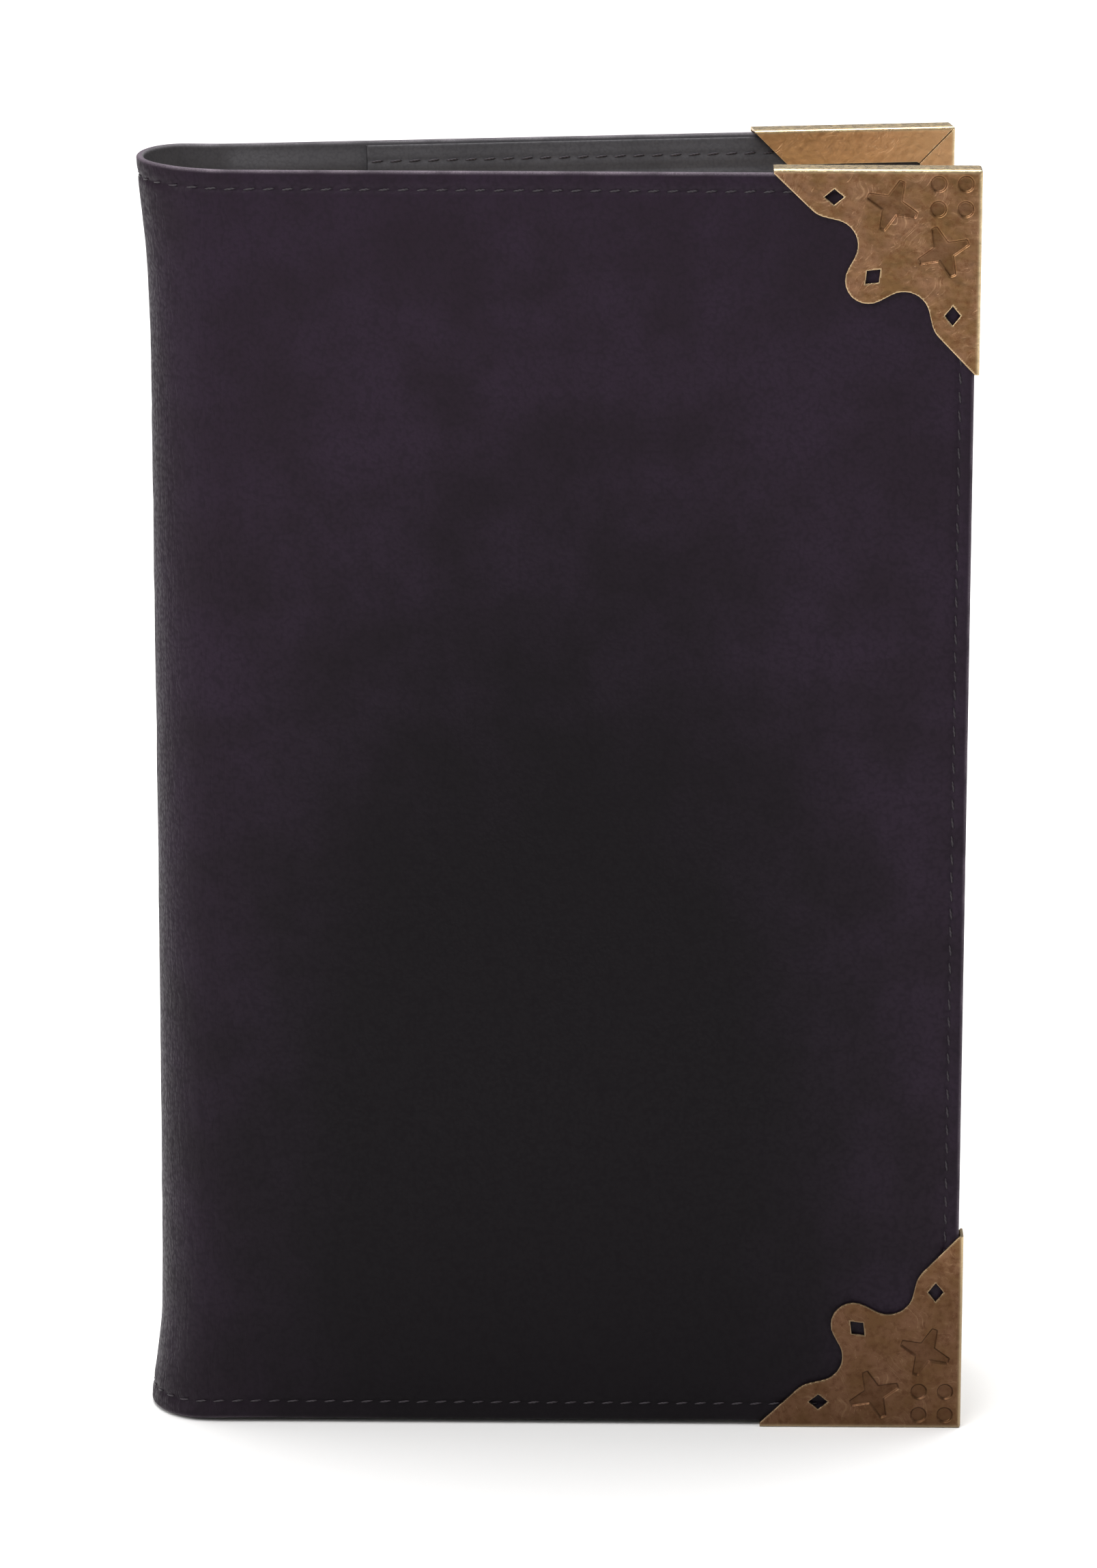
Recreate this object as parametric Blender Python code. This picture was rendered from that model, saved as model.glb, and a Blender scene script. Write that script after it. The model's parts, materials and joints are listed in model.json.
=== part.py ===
"""A prayer book in a slip-on leather jacket with brass corners, standing slightly open.

Frame: the book stands on its tail edge, +Z up. +X runs from the spine to the fore-edge,
+Y from the front cover to the back cover. The origin is the bottom centre of the whole.

The spine is the fixed body. Each cover turns on an upright axis beside the spine, and the
sections of the text block fan out between the two covers.
"""

import math

import bmesh
import bpy
from mathutils import Matrix, Vector

MM = 0.001
GAP = 0.3  # between two pieces that touch

# Jacket
JACKET_HEIGHT = 222.0  # leather, head to tail
COVER_WIDTH = 126.5  # hinge axis to the leather's fore-edge
HINGE_X = 13.0  # from the back of the spine to the hinge axes
SHUT_PLAY = 0.7  # left over between the leaves and both sleeves, shut
REST_ANGLE = 4.4  # each cover's angle from shut, as the book stands
LEATHER = 0.8
TURN_IN = 0.5  # pared leather folded over the edges
TURN_IN_WIDTH = 10.0
BOARD = 0.7
BOARD_INSET = 4.8  # the board stops inside the seams, this far from the leather's edges
LINING = 0.5
SLEEVE = 0.6
SLEEVE_START = 24.6  # hinge axis to the sleeve's open edge
SLEEVE_HEM = 0.4
SLEEVE_HEM_WIDTH = 4.2
SLEEVE_INSET = 0.6  # the sleeve stops this far inside the cover's edges
SLEEVE_RIM = 5.6  # the sleeve is sewn down this wide at head, tail and fore-edge
HINGE_RELIEF = 0.6  # leather stops this far each side of a hinge axis

# Seams
SEAM_FROM_HEAD = 3.2
SEAM_FROM_FORE_EDGE = 2.4
THREAD_WIDTH = 0.4
THREAD_DEPTH = 0.25
SLEEVE_SEAM_FROM_EDGE = 2.6

# Spine: its plan is half an ellipse, then straight to the covers
SPINE_A = 11.5
SPINE_SWELL = 0.1  # the spine is this much wider than the shut covers, each side
SPINE_PLAY = 1.3  # the spine's lining to the card spine
SPINE_STEPS = 28

# Brass corners
BRASS = 0.5
CORNER_LEG = 35.2
CORNER_FLAP = 6.0  # width of the two strips folded over inside
CORNER_LIP = 0.8  # straight end of each leg before the scallop starts
CORNER_EDGE_ROUND = 0.45
MITRE_SLIT = 0.35
SCALLOP = (  # circles along the cut edge: centre u, v and radius as shares of the leg, 1 outward or -1 inward
    (0.724, 0.102, 0.1335, 1),
    (0.719, 0.369, 0.125, -1),
    (0.54, 0.54, 0.1135, 1),
)
DIAMONDS = (  # centre u, v, half length and half width as shares of the leg, direction in degrees
    (0.71, 0.1335, 0.047, 0.038, 0),
    (0.1335, 0.71, 0.047, 0.038, 90),
    (0.52, 0.52, 0.05, 0.04, 45),
)

# Book inside the jacket
HEAD_ROOM = 12.2  # head of the jacket to the head of the pages
FORE_SQUARE = 1.2  # the card cover stands this far past the pages at the fore-edge
SECTIONS_EACH_SIDE = 8
SECTION = 0.9
SECTION_GAP = 0.1
SECTION_ROOT = 0.26  # thickness at the fold line, where the leaves bend
SECTION_TAPER = 4.0
GUTTER = 10.2  # bound part of the pages, from the back to where the leaves bend
WRAPPER = 0.5  # card cover of the book
WRAPPER_START = 3.0  # hinge axis to the card cover
WRAPPER_SQUARE = 1.0  # the card cover stands this far past the pages
GAUZE = 0.3
HEADBAND_RADIUS = 1.0

# Worked out from the sizes above
CORNER_PROUD = GAP + BRASS
HEIGHT = JACKET_HEIGHT + 2 * CORNER_PROUD
LEATHER_FOOT = CORNER_PROUD
LEATHER_HEAD = CORNER_PROUD + JACKET_HEIGHT
AXIS_DEPTH = LEATHER / 2
BOARD_DEPTH = LEATHER + GAP
TURN_IN_DEPTH = BOARD_DEPTH + BOARD + GAP
POCKET_DEPTH = TURN_IN_DEPTH + max(TURN_IN, LINING)
WRAPPER_DEPTH = POCKET_DEPTH + GAP
SLEEVE_DEPTH = WRAPPER_DEPTH + WRAPPER + GAP
SLEEVE_FACE = SLEEVE_DEPTH + SLEEVE
RIM_FACE = WRAPPER_DEPTH + SLEEVE
GROOVE_WIDTH = THREAD_WIDTH + 2 * GAP
GROOVE_DEPTH = THREAD_DEPTH + GAP
FLAP_DEPTH = RIM_FACE + GAP
CORNER_X = COVER_WIDTH + CORNER_PROUD
PAGE_FOOT = LEATHER_FOOT + SLEEVE_INSET + SLEEVE_RIM + GAP + WRAPPER_SQUARE
PAGE_HEAD = LEATHER_HEAD - HEAD_ROOM
SECTION_PITCH = SECTION + SECTION_GAP
BLOCK_THICKNESS = 2 * SECTIONS_EACH_SIDE * SECTION_PITCH - SECTION_GAP
CLOSED_THICKNESS = BLOCK_THICKNESS + SHUT_PLAY + 2 * (SLEEVE_FACE + SLEEVE_HEM)
HINGE_Y = CLOSED_THICKNESS / 2 - AXIS_DEPTH
SPINE_B = CLOSED_THICKNESS / 2 + SPINE_SWELL
SPINE_WALL = LEATHER + GAP + LINING
CARD_HALF = BLOCK_THICKNESS / 2 + WRAPPER
SPINE_HOLLOW = SPINE_A - (SPINE_A - SPINE_WALL) * math.sqrt(1 - (CARD_HALF / (SPINE_B - SPINE_WALL)) ** 2)
CARD_BACK = SPINE_HOLLOW + SPINE_PLAY
BLOCK_BACK = CARD_BACK + WRAPPER + GAP + GAUZE + GAP
CARD_FORE = COVER_WIDTH - SLEEVE_INSET - SLEEVE_RIM - GAP
PAGE_WIDTH = HINGE_X + CARD_FORE - FORE_SQUARE - BLOCK_BACK
FOLD_X = BLOCK_BACK + GUTTER + GAP
FLAP_SIDE = FLAP_DEPTH + BRASS - AXIS_DEPTH  # hinge axis to the innermost brass
REACH = CORNER_X * math.cos(math.radians(REST_ANGLE)) + FLAP_SIDE * math.sin(math.radians(REST_ANGLE))
MIDDLE_X = (HINGE_X + REACH) / 2


def clear_scene():
    for obj in list(bpy.data.objects):
        bpy.data.objects.remove(obj)


def material(name, colour, roughness, metallic=0.0):
    made = bpy.data.materials.new(name)
    made.use_nodes = True
    shader = made.node_tree.nodes["Principled BSDF"]
    shader.inputs["Base Color"].default_value = (*colour, 1.0)
    shader.inputs["Roughness"].default_value = roughness
    shader.inputs["Metallic"].default_value = metallic
    made.diffuse_color = (*colour, 1.0)
    return made


def empty(name, location=(0, 0, 0), turn=0.0, parent=None):
    made = bpy.data.objects.new(name, None)
    made.location = Vector(location) * MM
    made.rotation_euler.z = math.radians(turn)
    made.parent = parent
    bpy.context.scene.collection.objects.link(made)
    return made


def prism(outline, low, high, axis="Z"):
    """A closed mesh: an outline pushed from low to high along an axis, in millimetres.
    The outline is in XY for axis Z, and in XZ for axis Y."""
    work = bmesh.new()
    if axis == "Z":
        start = [work.verts.new((x, y, low)) for x, y in outline]
        push = (0, 0, high - low)
    else:
        start = [work.verts.new((x, low, z)) for x, z in outline]
        push = (0, high - low, 0)
    face = work.faces.new(start)
    moved = bmesh.ops.extrude_face_region(work, geom=[face])["geom"]
    corners = [item for item in moved if isinstance(item, bmesh.types.BMVert)]
    bmesh.ops.translate(work, vec=push, verts=corners)
    bmesh.ops.recalc_face_normals(work, faces=work.faces)
    return work


def rectangle(low_a, low_b, high_a, high_b):
    return [(low_a, low_b), (high_a, low_b), (high_a, high_b), (low_a, high_b)]


def to_object(work, name, finish=None, parent=None, location=(0, 0, 0)):
    mesh = bpy.data.meshes.new(name)
    bmesh.ops.scale(work, vec=(MM, MM, MM), verts=work.verts)
    work.to_mesh(mesh)
    work.free()
    if finish:
        mesh.materials.append(finish)
    made = bpy.data.objects.new(name, mesh)
    made.location = Vector(location) * MM
    made.parent = parent
    bpy.context.scene.collection.objects.link(made)
    return made


def cut(target, work, name):
    """Cuts a closed mesh out of an object. The cutter stays as a wire helper on the same parent."""
    cutter = to_object(work, name, parent=target.parent, location=target.location / MM)
    cutter.hide_render = True
    cutter.display_type = "WIRE"
    difference = target.modifiers.new(name, "BOOLEAN")
    difference.operation = "DIFFERENCE"
    difference.object = cutter
    return cutter


def ellipse_wall(outer, inner, x_end):
    """Plan of a wall that follows the spine: outer and inner are depths below the jacket's surface."""

    def side(depth):
        a, b = SPINE_A - depth, SPINE_B - depth
        angles = [math.pi * (step / SPINE_STEPS - 0.5) for step in range(SPINE_STEPS + 1)]
        bow = [(SPINE_A - a * math.cos(t), b * math.sin(t)) for t in angles]
        return [(x_end, -b), *bow, (x_end, b)] if x_end > SPINE_A else bow

    return side(outer) + side(inner)[::-1]


def cover_slab(side, low_x, low_z, high_x, high_z, outer, inner):
    """A flat layer of a cover, in the cover's own frame: outer and inner are depths below its face."""
    depths = sorted(side * (AXIS_DEPTH - depth) for depth in (outer, inner))
    return prism(rectangle(low_x, low_z, high_x, high_z), *depths, axis="Y")


def seam_band(side, low_x, width, outer, inner):
    """The seam round head, fore-edge and tail of a cover, as one band of the given width."""
    half = width / 2
    head = LEATHER_HEAD - SEAM_FROM_HEAD
    foot = LEATHER_FOOT + SEAM_FROM_HEAD
    fore = COVER_WIDTH - SEAM_FROM_FORE_EDGE
    outline = [
        (low_x, head + half),
        (low_x, head - half),
        (fore - half, head - half),
        (fore - half, foot + half),
        (low_x, foot + half),
        (low_x, foot - half),
        (fore + half, foot - half),
        (fore + half, head + half),
    ]
    depths = sorted(side * (AXIS_DEPTH - depth) for depth in (outer, inner))
    return prism(outline, *depths, axis="Y")


def tangent(first, second):
    """Where the straight run between two circles leaves the first and meets the second. Each circle is
    (u, v, radius, turn), and turn is 1 where the circle lies to the left of the run."""
    u1, v1, r1, side1 = first
    u2, v2, r2, side2 = second
    away = Vector((u2 - u1, v2 - v1))
    lean = math.asin((r1 * side1 - r2 * side2) / away.length)
    heading = math.atan2(away.y, away.x) + lean
    out = Vector((math.sin(heading), -math.cos(heading)))
    return (Vector((u1, v1)) + out * r1 * side1, Vector((u2, v2)) + out * r2 * side2)


def arc(circle, start, end, steps=10):
    """Points round a circle from start to end, turning by the shorter way."""
    centre = Vector(circle[:2])
    first = math.atan2(*(start - centre).yx)
    turn = (math.atan2(*(end - centre).yx) - first + math.pi) % (2 * math.pi) - math.pi
    angles = [first + turn * step / steps for step in range(steps + 1)]
    return [tuple(centre + circle[2] * Vector((math.cos(t), math.sin(t)))) for t in angles]


def corner_outline():
    """The corner's plate, from the point of the corner: straight legs and a scalloped cut edge."""
    tip = (CORNER_LEG, CORNER_LIP, 0.0, 1)
    circles = [(u * CORNER_LEG, v * CORNER_LEG, r * CORNER_LEG, turn) for u, v, r, turn in SCALLOP]
    mirrored = [(v, u, r, turn) for u, v, r, turn in circles[-2::-1]]
    path = [tip, *circles, *mirrored, (CORNER_LIP, CORNER_LEG, 0.0, 1)]
    runs = [tangent(a, b) for a, b in zip(path, path[1:])]
    edge = [tuple(runs[0][0])]
    for circle, before, after in zip(path[1:-1], runs, runs[1:]):
        edge += arc(circle, before[1], after[0])
    edge.append(tuple(runs[-1][1]))
    return [(0, 0), (CORNER_LEG, 0), *edge, (0, CORNER_LEG)]


def brass_corner_mesh(brass):
    """One pressed corner. u and v run from its point along X and Z, and Y goes in through the cover."""
    inner = FLAP_DEPTH + BRASS
    work = prism(corner_outline(), -CORNER_PROUD, inner, axis="Y")
    folds = [edge for edge in work.edges if edge.calc_length() > CORNER_LEG - 1]
    point = [edge for edge in work.edges if all(vert.co.x < 0.01 and vert.co.z < 0.01 for vert in edge.verts)]
    bmesh.ops.bevel(
        work,
        geom=folds + point,
        offset=CORNER_EDGE_ROUND,
        segments=4,
        profile=0.5,
        affect="EDGES",
        material=-1,
    )
    shell = to_object(work, "corner_pattern", brass)
    past = CORNER_LEG + 5
    cavity = prism(rectangle(BRASS, BRASS, past, past), -GAP, FLAP_DEPTH, axis="Y")
    cut(shell, cavity, "corner_cavity")
    strip = CORNER_FLAP
    slant = CORNER_LEG - strip + GAP
    inside = [(strip, strip), (slant, strip), (slant + strip + 1, -1), (past, -1), (past, past)]
    inside += [(-1, past), (-1, slant + strip + 1), (strip, slant)]
    cut(shell, prism(inside, FLAP_DEPTH - 0.1, inner + 1, axis="Y"), "corner_inside")
    half = MITRE_SLIT / 2 * math.sqrt(2)
    slit = [(BRASS + half, BRASS - half), (strip + 2 + half, strip + 2 - half)]
    slit += [(v, u) for u, v in slit[::-1]]
    cut(shell, prism(slit, FLAP_DEPTH - 0.1, inner + 1, axis="Y"), "corner_slit")
    for number, (u, v, length, width, turn) in enumerate(DIAMONDS):
        heading = Vector((math.cos(math.radians(turn)), math.sin(math.radians(turn))))
        along = heading * length * CORNER_LEG
        across = Vector((-heading.y, heading.x)) * width * CORNER_LEG
        centre = Vector((u, v)) * CORNER_LEG
        ends = (centre + along, centre + across, centre - along, centre - across)
        cut(shell, prism([tuple(point) for point in ends], -CORNER_PROUD - 1, 0, axis="Y"), f"diamond_{number}")
    bpy.context.view_layer.update()
    graph = bpy.context.evaluated_depsgraph_get()
    mesh = bpy.data.meshes.new_from_object(shell.evaluated_get(graph))
    mesh.name = "brass_corner"
    for helper in [modifier.object for modifier in shell.modifiers] + [shell]:
        bpy.data.objects.remove(helper)
    return mesh


def brass_corner(name, mesh, side, at_head, hinge):
    """Sets a copy of the corner on a cover's head or tail corner."""
    made = bpy.data.objects.new(name, mesh)
    made.parent = hinge
    face = side * AXIS_DEPTH * MM
    made.location = (CORNER_X * MM, face, (HEIGHT if at_head else 0) * MM)
    made.scale = (-1, -side, -1 if at_head else 1)
    bpy.context.scene.collection.objects.link(made)


def cover(prefix, side, book, finishes, corner_mesh):
    """One cover of the jacket and the card cover in its sleeve, turning on its hinge axis."""
    leather, lining, board, thread, card = finishes
    hinge = empty(f"{prefix}_hinge", (HINGE_X, side * HINGE_Y, 0), side * REST_ANGLE, book)
    past = COVER_WIDTH + 5

    skin = cover_slab(side, HINGE_RELIEF, LEATHER_FOOT, COVER_WIDTH, LEATHER_HEAD, 0, TURN_IN_DEPTH + TURN_IN)
    skin = to_object(skin, f"{prefix}_leather", leather, hinge)
    rim = BOARD_INSET - GAP
    hollow = (-1, LEATHER_FOOT + rim, COVER_WIDTH - rim, LEATHER_HEAD - rim)
    cut(skin, cover_slab(side, *hollow, LEATHER, TURN_IN_DEPTH), f"{prefix}_leather_hollow")
    window = (-1, LEATHER_FOOT + TURN_IN_WIDTH, COVER_WIDTH - TURN_IN_WIDTH, LEATHER_HEAD - TURN_IN_WIDTH)
    cut(skin, cover_slab(side, *window, TURN_IN_DEPTH - 0.1, POCKET_DEPTH + 1), f"{prefix}_leather_window")
    cut(skin, seam_band(side, -1, GROOVE_WIDTH, -1, GROOVE_DEPTH), f"{prefix}_leather_groove")

    stiffener = cover_slab(
        side,
        HINGE_RELIEF + 2,
        LEATHER_FOOT + BOARD_INSET,
        COVER_WIDTH - BOARD_INSET,
        LEATHER_HEAD - BOARD_INSET,
        BOARD_DEPTH,
        BOARD_DEPTH + BOARD,
    )
    to_object(stiffener, f"{prefix}_board", board, hinge)

    sheet = cover_slab(
        side,
        HINGE_RELIEF + 1,
        LEATHER_FOOT + TURN_IN_WIDTH + GAP,
        COVER_WIDTH - TURN_IN_WIDTH - GAP,
        LEATHER_HEAD - TURN_IN_WIDTH - GAP,
        TURN_IN_DEPTH,
        TURN_IN_DEPTH + LINING,
    )
    to_object(sheet, f"{prefix}_lining", lining, hinge)

    inset = SLEEVE_INSET
    sleeve = cover_slab(
        side,
        SLEEVE_START,
        LEATHER_FOOT + inset,
        COVER_WIDTH - inset,
        LEATHER_HEAD - inset,
        WRAPPER_DEPTH,
        SLEEVE_FACE + SLEEVE_HEM,
    )
    sleeve = to_object(sleeve, f"{prefix}_sleeve", leather, hinge)
    pocket = (
        -1,
        LEATHER_FOOT + inset + SLEEVE_RIM,
        COVER_WIDTH - inset - SLEEVE_RIM,
        LEATHER_HEAD - inset - SLEEVE_RIM,
    )
    cut(sleeve, cover_slab(side, *pocket, WRAPPER_DEPTH - 1, SLEEVE_DEPTH), f"{prefix}_sleeve_pocket")
    hem_face = SLEEVE_FACE + SLEEVE_HEM
    face = (SLEEVE_START + SLEEVE_HEM_WIDTH, -5, past, HEIGHT + 5)
    cut(sleeve, cover_slab(side, *face, SLEEVE_FACE, hem_face + 1), f"{prefix}_sleeve_step")
    rim = inset + SLEEVE_RIM - SLEEVE
    rims = (
        ("head", (-5, LEATHER_HEAD - rim, past, HEIGHT + 5)),
        ("tail", (-5, -5, past, LEATHER_FOOT + rim)),
        ("fore", (COVER_WIDTH - rim, -5, past, HEIGHT + 5)),
    )
    for edge, place in rims:
        cut(sleeve, cover_slab(side, *place, RIM_FACE, hem_face + 1), f"{prefix}_sleeve_{edge}_rim")
    seam_start = SLEEVE_START + 1
    groove = seam_band(side, seam_start, GROOVE_WIDTH, RIM_FACE - GROOVE_DEPTH, RIM_FACE + 1)
    cut(sleeve, groove, f"{prefix}_sleeve_groove")
    hem_seam = SLEEVE_START + SLEEVE_SEAM_FROM_EDGE
    upright = (hem_seam - GROOVE_WIDTH / 2, -5, hem_seam + GROOVE_WIDTH / 2, HEIGHT + 5)
    cut(sleeve, cover_slab(side, *upright, hem_face - GROOVE_DEPTH, hem_face + 1), f"{prefix}_hem_groove")

    outer_seam = seam_band(side, HINGE_RELIEF + 1, THREAD_WIDTH, 0, THREAD_DEPTH)
    to_object(outer_seam, f"{prefix}_outer_seam", thread, hinge)
    inner_seam = seam_band(side, seam_start + GAP, THREAD_WIDTH, RIM_FACE - THREAD_DEPTH, RIM_FACE)
    to_object(inner_seam, f"{prefix}_sleeve_seam", thread, hinge)
    hem_thread = cover_slab(
        side,
        hem_seam - THREAD_WIDTH / 2,
        LEATHER_FOOT + rim + GAP,
        hem_seam + THREAD_WIDTH / 2,
        LEATHER_HEAD - rim - GAP,
        hem_face - THREAD_DEPTH,
        hem_face,
    )
    to_object(hem_thread, f"{prefix}_sleeve_hem_seam", thread, hinge)

    wrapper = cover_slab(
        side,
        WRAPPER_START,
        PAGE_FOOT - WRAPPER_SQUARE,
        CARD_FORE,
        PAGE_HEAD + WRAPPER_SQUARE,
        WRAPPER_DEPTH,
        WRAPPER_DEPTH + WRAPPER,
    )
    to_object(wrapper, f"{prefix}_card_cover", card, hinge)

    brass_corner(f"{prefix}_head_corner", corner_mesh, side, True, hinge)
    brass_corner(f"{prefix}_tail_corner", corner_mesh, side, False, hinge)


def spine(book, finishes):
    """The jacket's spine and the bound back of the book."""
    leather, lining, thread, card, cloth, paper = finishes
    leather_end = HINGE_X - HINGE_RELIEF
    skin = prism(ellipse_wall(0, LEATHER, leather_end), 0, HEIGHT)
    skin = to_object(skin, "spine_leather", leather, book)
    lining_end = leather_end - 1
    lined = ellipse_wall(LEATHER + GAP, LEATHER + GAP + LINING, lining_end)
    lined = prism(lined, LEATHER_FOOT + GAP, LEATHER_HEAD - GAP)
    to_object(lined, "spine_lining", lining, book)
    seams = (("head", LEATHER_HEAD - SEAM_FROM_HEAD), ("tail", LEATHER_FOOT + SEAM_FROM_HEAD))
    for end, level in seams:
        reach = (level - GROOVE_WIDTH / 2, level + GROOVE_WIDTH / 2)
        groove = prism(ellipse_wall(-2, GROOVE_DEPTH, HINGE_X + 1), *reach)
        cut(skin, groove, f"spine_{end}_groove")
        reach = (level - THREAD_WIDTH / 2, level + THREAD_WIDTH / 2)
        stitched = prism(ellipse_wall(0, THREAD_DEPTH, leather_end), *reach)
        to_object(stitched, f"spine_{end}_seam", thread, book)

    half = BLOCK_THICKNESS / 2
    back = rectangle(CARD_BACK, -CARD_HALF, CARD_BACK + WRAPPER, CARD_HALF)
    back = prism(back, PAGE_FOOT - WRAPPER_SQUARE, PAGE_HEAD + WRAPPER_SQUARE)
    to_object(back, "card_spine", card, book)
    gauze_x = CARD_BACK + WRAPPER + GAP
    gauze = rectangle(gauze_x, -half, gauze_x + GAUZE, half)
    margin = 12.0
    gauze = prism(gauze, PAGE_FOOT + margin, PAGE_HEAD - margin)
    to_object(gauze, "spine_gauze", cloth, book)
    bound = prism(rectangle(BLOCK_BACK, -half, BLOCK_BACK + GUTTER, half), PAGE_FOOT, PAGE_HEAD)
    to_object(bound, "bound_gutter", paper, book)
    for end, level in (("head", PAGE_HEAD + GAP), ("tail", PAGE_FOOT - GAP)):
        up = 1 if end == "head" else -1
        roll = bmesh.new()
        turned = Matrix.Rotation(math.radians(90), 4, "X")
        bmesh.ops.create_cone(
            roll,
            cap_ends=True,
            segments=12,
            radius1=HEADBAND_RADIUS,
            radius2=HEADBAND_RADIUS,
            depth=BLOCK_THICKNESS,
            matrix=turned,
        )
        place = (BLOCK_BACK + HEADBAND_RADIUS, 0, level + up * HEADBAND_RADIUS)
        to_object(roll, f"{end}_band", cloth, book, place)


def section_outline(side):
    """Plan of one section from its fold line: it tapers to the fold, where the leaves bend."""
    length = PAGE_WIDTH - GUTTER - GAP
    root, full = SECTION_ROOT / 2, SECTION / 2
    half = [(0, root), (SECTION_TAPER, full), (length, full)]
    outline = half + [(x, -y) for x, y in half[::-1]]
    return [(x, side * y) for x, y in outline]


def sections(book, paper):
    """The leaves on each side of the middle, each section on its own upright fold line."""
    wedges = 2 * SECTIONS_EACH_SIDE + 1
    for prefix, side in (("front", -1), ("back", 1)):
        for number in range(1, SECTIONS_EACH_SIDE + 1):
            share = (2 * number - 1) / wedges
            fold_y = side * (number - 0.5) * SECTION_PITCH
            name = f"{prefix}_section_{number}"
            slab = prism(section_outline(side), PAGE_FOOT, PAGE_HEAD)
            made = to_object(slab, name, paper, book, (FOLD_X, fold_y, 0))
            made.rotation_euler.z = math.radians(side * REST_ANGLE * share)


def main():
    clear_scene()
    leather = material("aubergine_leather", (0.028, 0.021, 0.027), 0.5)
    lining = material("lining_leather", (0.035, 0.03, 0.034), 0.7)
    board = material("grey_board", (0.35, 0.33, 0.3), 0.9)
    thread = material("dark_thread", (0.03, 0.022, 0.028), 0.6)
    card = material("card", (0.1, 0.02, 0.02), 0.7)
    cloth = material("spine_cloth", (0.6, 0.55, 0.42), 0.9)
    paper = material("book_paper", (0.78, 0.72, 0.58), 0.9)
    brass = material("antique_brass", (0.42, 0.27, 0.12), 0.4, 1.0)

    book = empty("book", (-MIDDLE_X, 0, 0))
    spine(book, (leather, lining, thread, card, cloth, paper))
    corner_mesh = brass_corner_mesh(brass)
    for prefix, side in (("front", -1), ("back", 1)):
        cover(prefix, side, book, (leather, lining, board, thread, card), corner_mesh)
    sections(book, paper)
    bpy.context.view_layer.update()


main()
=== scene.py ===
import json
import math
from itertools import product

import bmesh
import bpy
import numpy as np
from mathutils import Matrix, Vector

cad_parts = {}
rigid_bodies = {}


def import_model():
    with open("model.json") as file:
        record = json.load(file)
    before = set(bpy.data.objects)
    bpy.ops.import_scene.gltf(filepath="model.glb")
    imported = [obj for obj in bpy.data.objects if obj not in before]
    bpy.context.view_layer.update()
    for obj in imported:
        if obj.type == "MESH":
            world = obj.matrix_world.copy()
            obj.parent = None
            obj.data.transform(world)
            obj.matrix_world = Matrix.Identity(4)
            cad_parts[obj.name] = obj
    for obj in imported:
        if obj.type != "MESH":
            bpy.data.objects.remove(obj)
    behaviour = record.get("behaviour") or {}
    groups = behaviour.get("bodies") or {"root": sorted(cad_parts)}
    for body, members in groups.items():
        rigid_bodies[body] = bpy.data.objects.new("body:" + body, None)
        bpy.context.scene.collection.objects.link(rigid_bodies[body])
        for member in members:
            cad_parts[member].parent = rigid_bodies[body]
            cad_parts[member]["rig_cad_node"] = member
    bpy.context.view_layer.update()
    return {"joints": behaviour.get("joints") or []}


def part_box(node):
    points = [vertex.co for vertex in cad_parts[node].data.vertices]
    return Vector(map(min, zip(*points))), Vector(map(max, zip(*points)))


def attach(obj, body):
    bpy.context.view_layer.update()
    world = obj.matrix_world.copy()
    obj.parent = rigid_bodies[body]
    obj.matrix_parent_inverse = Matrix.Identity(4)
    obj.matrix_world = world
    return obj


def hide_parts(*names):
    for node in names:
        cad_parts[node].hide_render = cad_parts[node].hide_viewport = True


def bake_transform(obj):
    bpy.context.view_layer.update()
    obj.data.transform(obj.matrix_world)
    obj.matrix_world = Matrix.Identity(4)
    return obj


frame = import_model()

mm = 0.001
scene = bpy.context.scene
joints = {joint["name"]: joint for joint in frame["joints"]}
cadObjects = {item["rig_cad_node"]: item for item in scene.objects if "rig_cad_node" in item}

# the studio camera stands far off, with a long lens
camera = {
    "target": (-0.0015, 0.0, 0.1117), "distance": 1.376, "turn": 4.1, "lookDown": 14.77, "roll": 0.24,
    "lens": 181.5,
}


def makeCamera():
    data = bpy.data.cameras.new("studioCamera")
    data.lens = camera["lens"]
    data.clip_start, data.clip_end = 0.05, 40
    made = bpy.data.objects.new("studioCamera", data)
    turn, down, roll = (math.radians(camera[key]) for key in ("turn", "lookDown", "roll"))
    aim = Matrix.Rotation(-turn, 4, "Z") @ Matrix.Rotation(
        math.pi / 2 - down, 4, "X"
    ) @ Matrix.Rotation(roll, 4, "Z")
    made.matrix_world = Matrix.Translation(
        Vector(camera["target"]) + aim @ Vector((0, 0, camera["distance"]))
    ) @ aim
    scene.collection.objects.link(made)
    scene.camera = made


makeCamera()
print("camera ready")

# small helpers: everything on the book is worked in millimetres from the back of the spine
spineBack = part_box("spine_leather")[0].x / mm
restAngle = -math.radians(joints["back_cover_hinge"]["range_deg"][0])
hinge = (joints["back_cover_hinge"]["pos_m"][0] / mm - spineBack, joints["back_cover_hinge"]["pos_m"][1] / mm)
sides = {"front": -1, "back": 1}
toFrame = Matrix.Translation((spineBack * mm, 0, 0)) @ Matrix.Scale(mm, 4)


def smooth(low, high, value):
    share = np.clip((value - low) / (high - low), 0, 1)
    return share * share * (3 - 2 * share)


def softNoise(*axes, seed=1):
    # smooth random field between -1 and 1, one lump to each whole number
    table = np.random.default_rng(seed).uniform(-1, 1, (32, 32))
    whole = [np.floor(axis).astype(int) for axis in axes]
    part = [axis - low for axis, low in zip(axes, whole)]
    fade = [share * share * (3 - 2 * share) for share in part]
    total = 0
    for corner in product((0, 1), repeat=2):
        weight = 1
        for step, share in zip(corner, fade):
            weight = weight * (share if step else 1 - share)
        total = total + weight * table[(whole[0] + corner[0]) % 32, (whole[1] + corner[1]) % 32]
    return total


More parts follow.
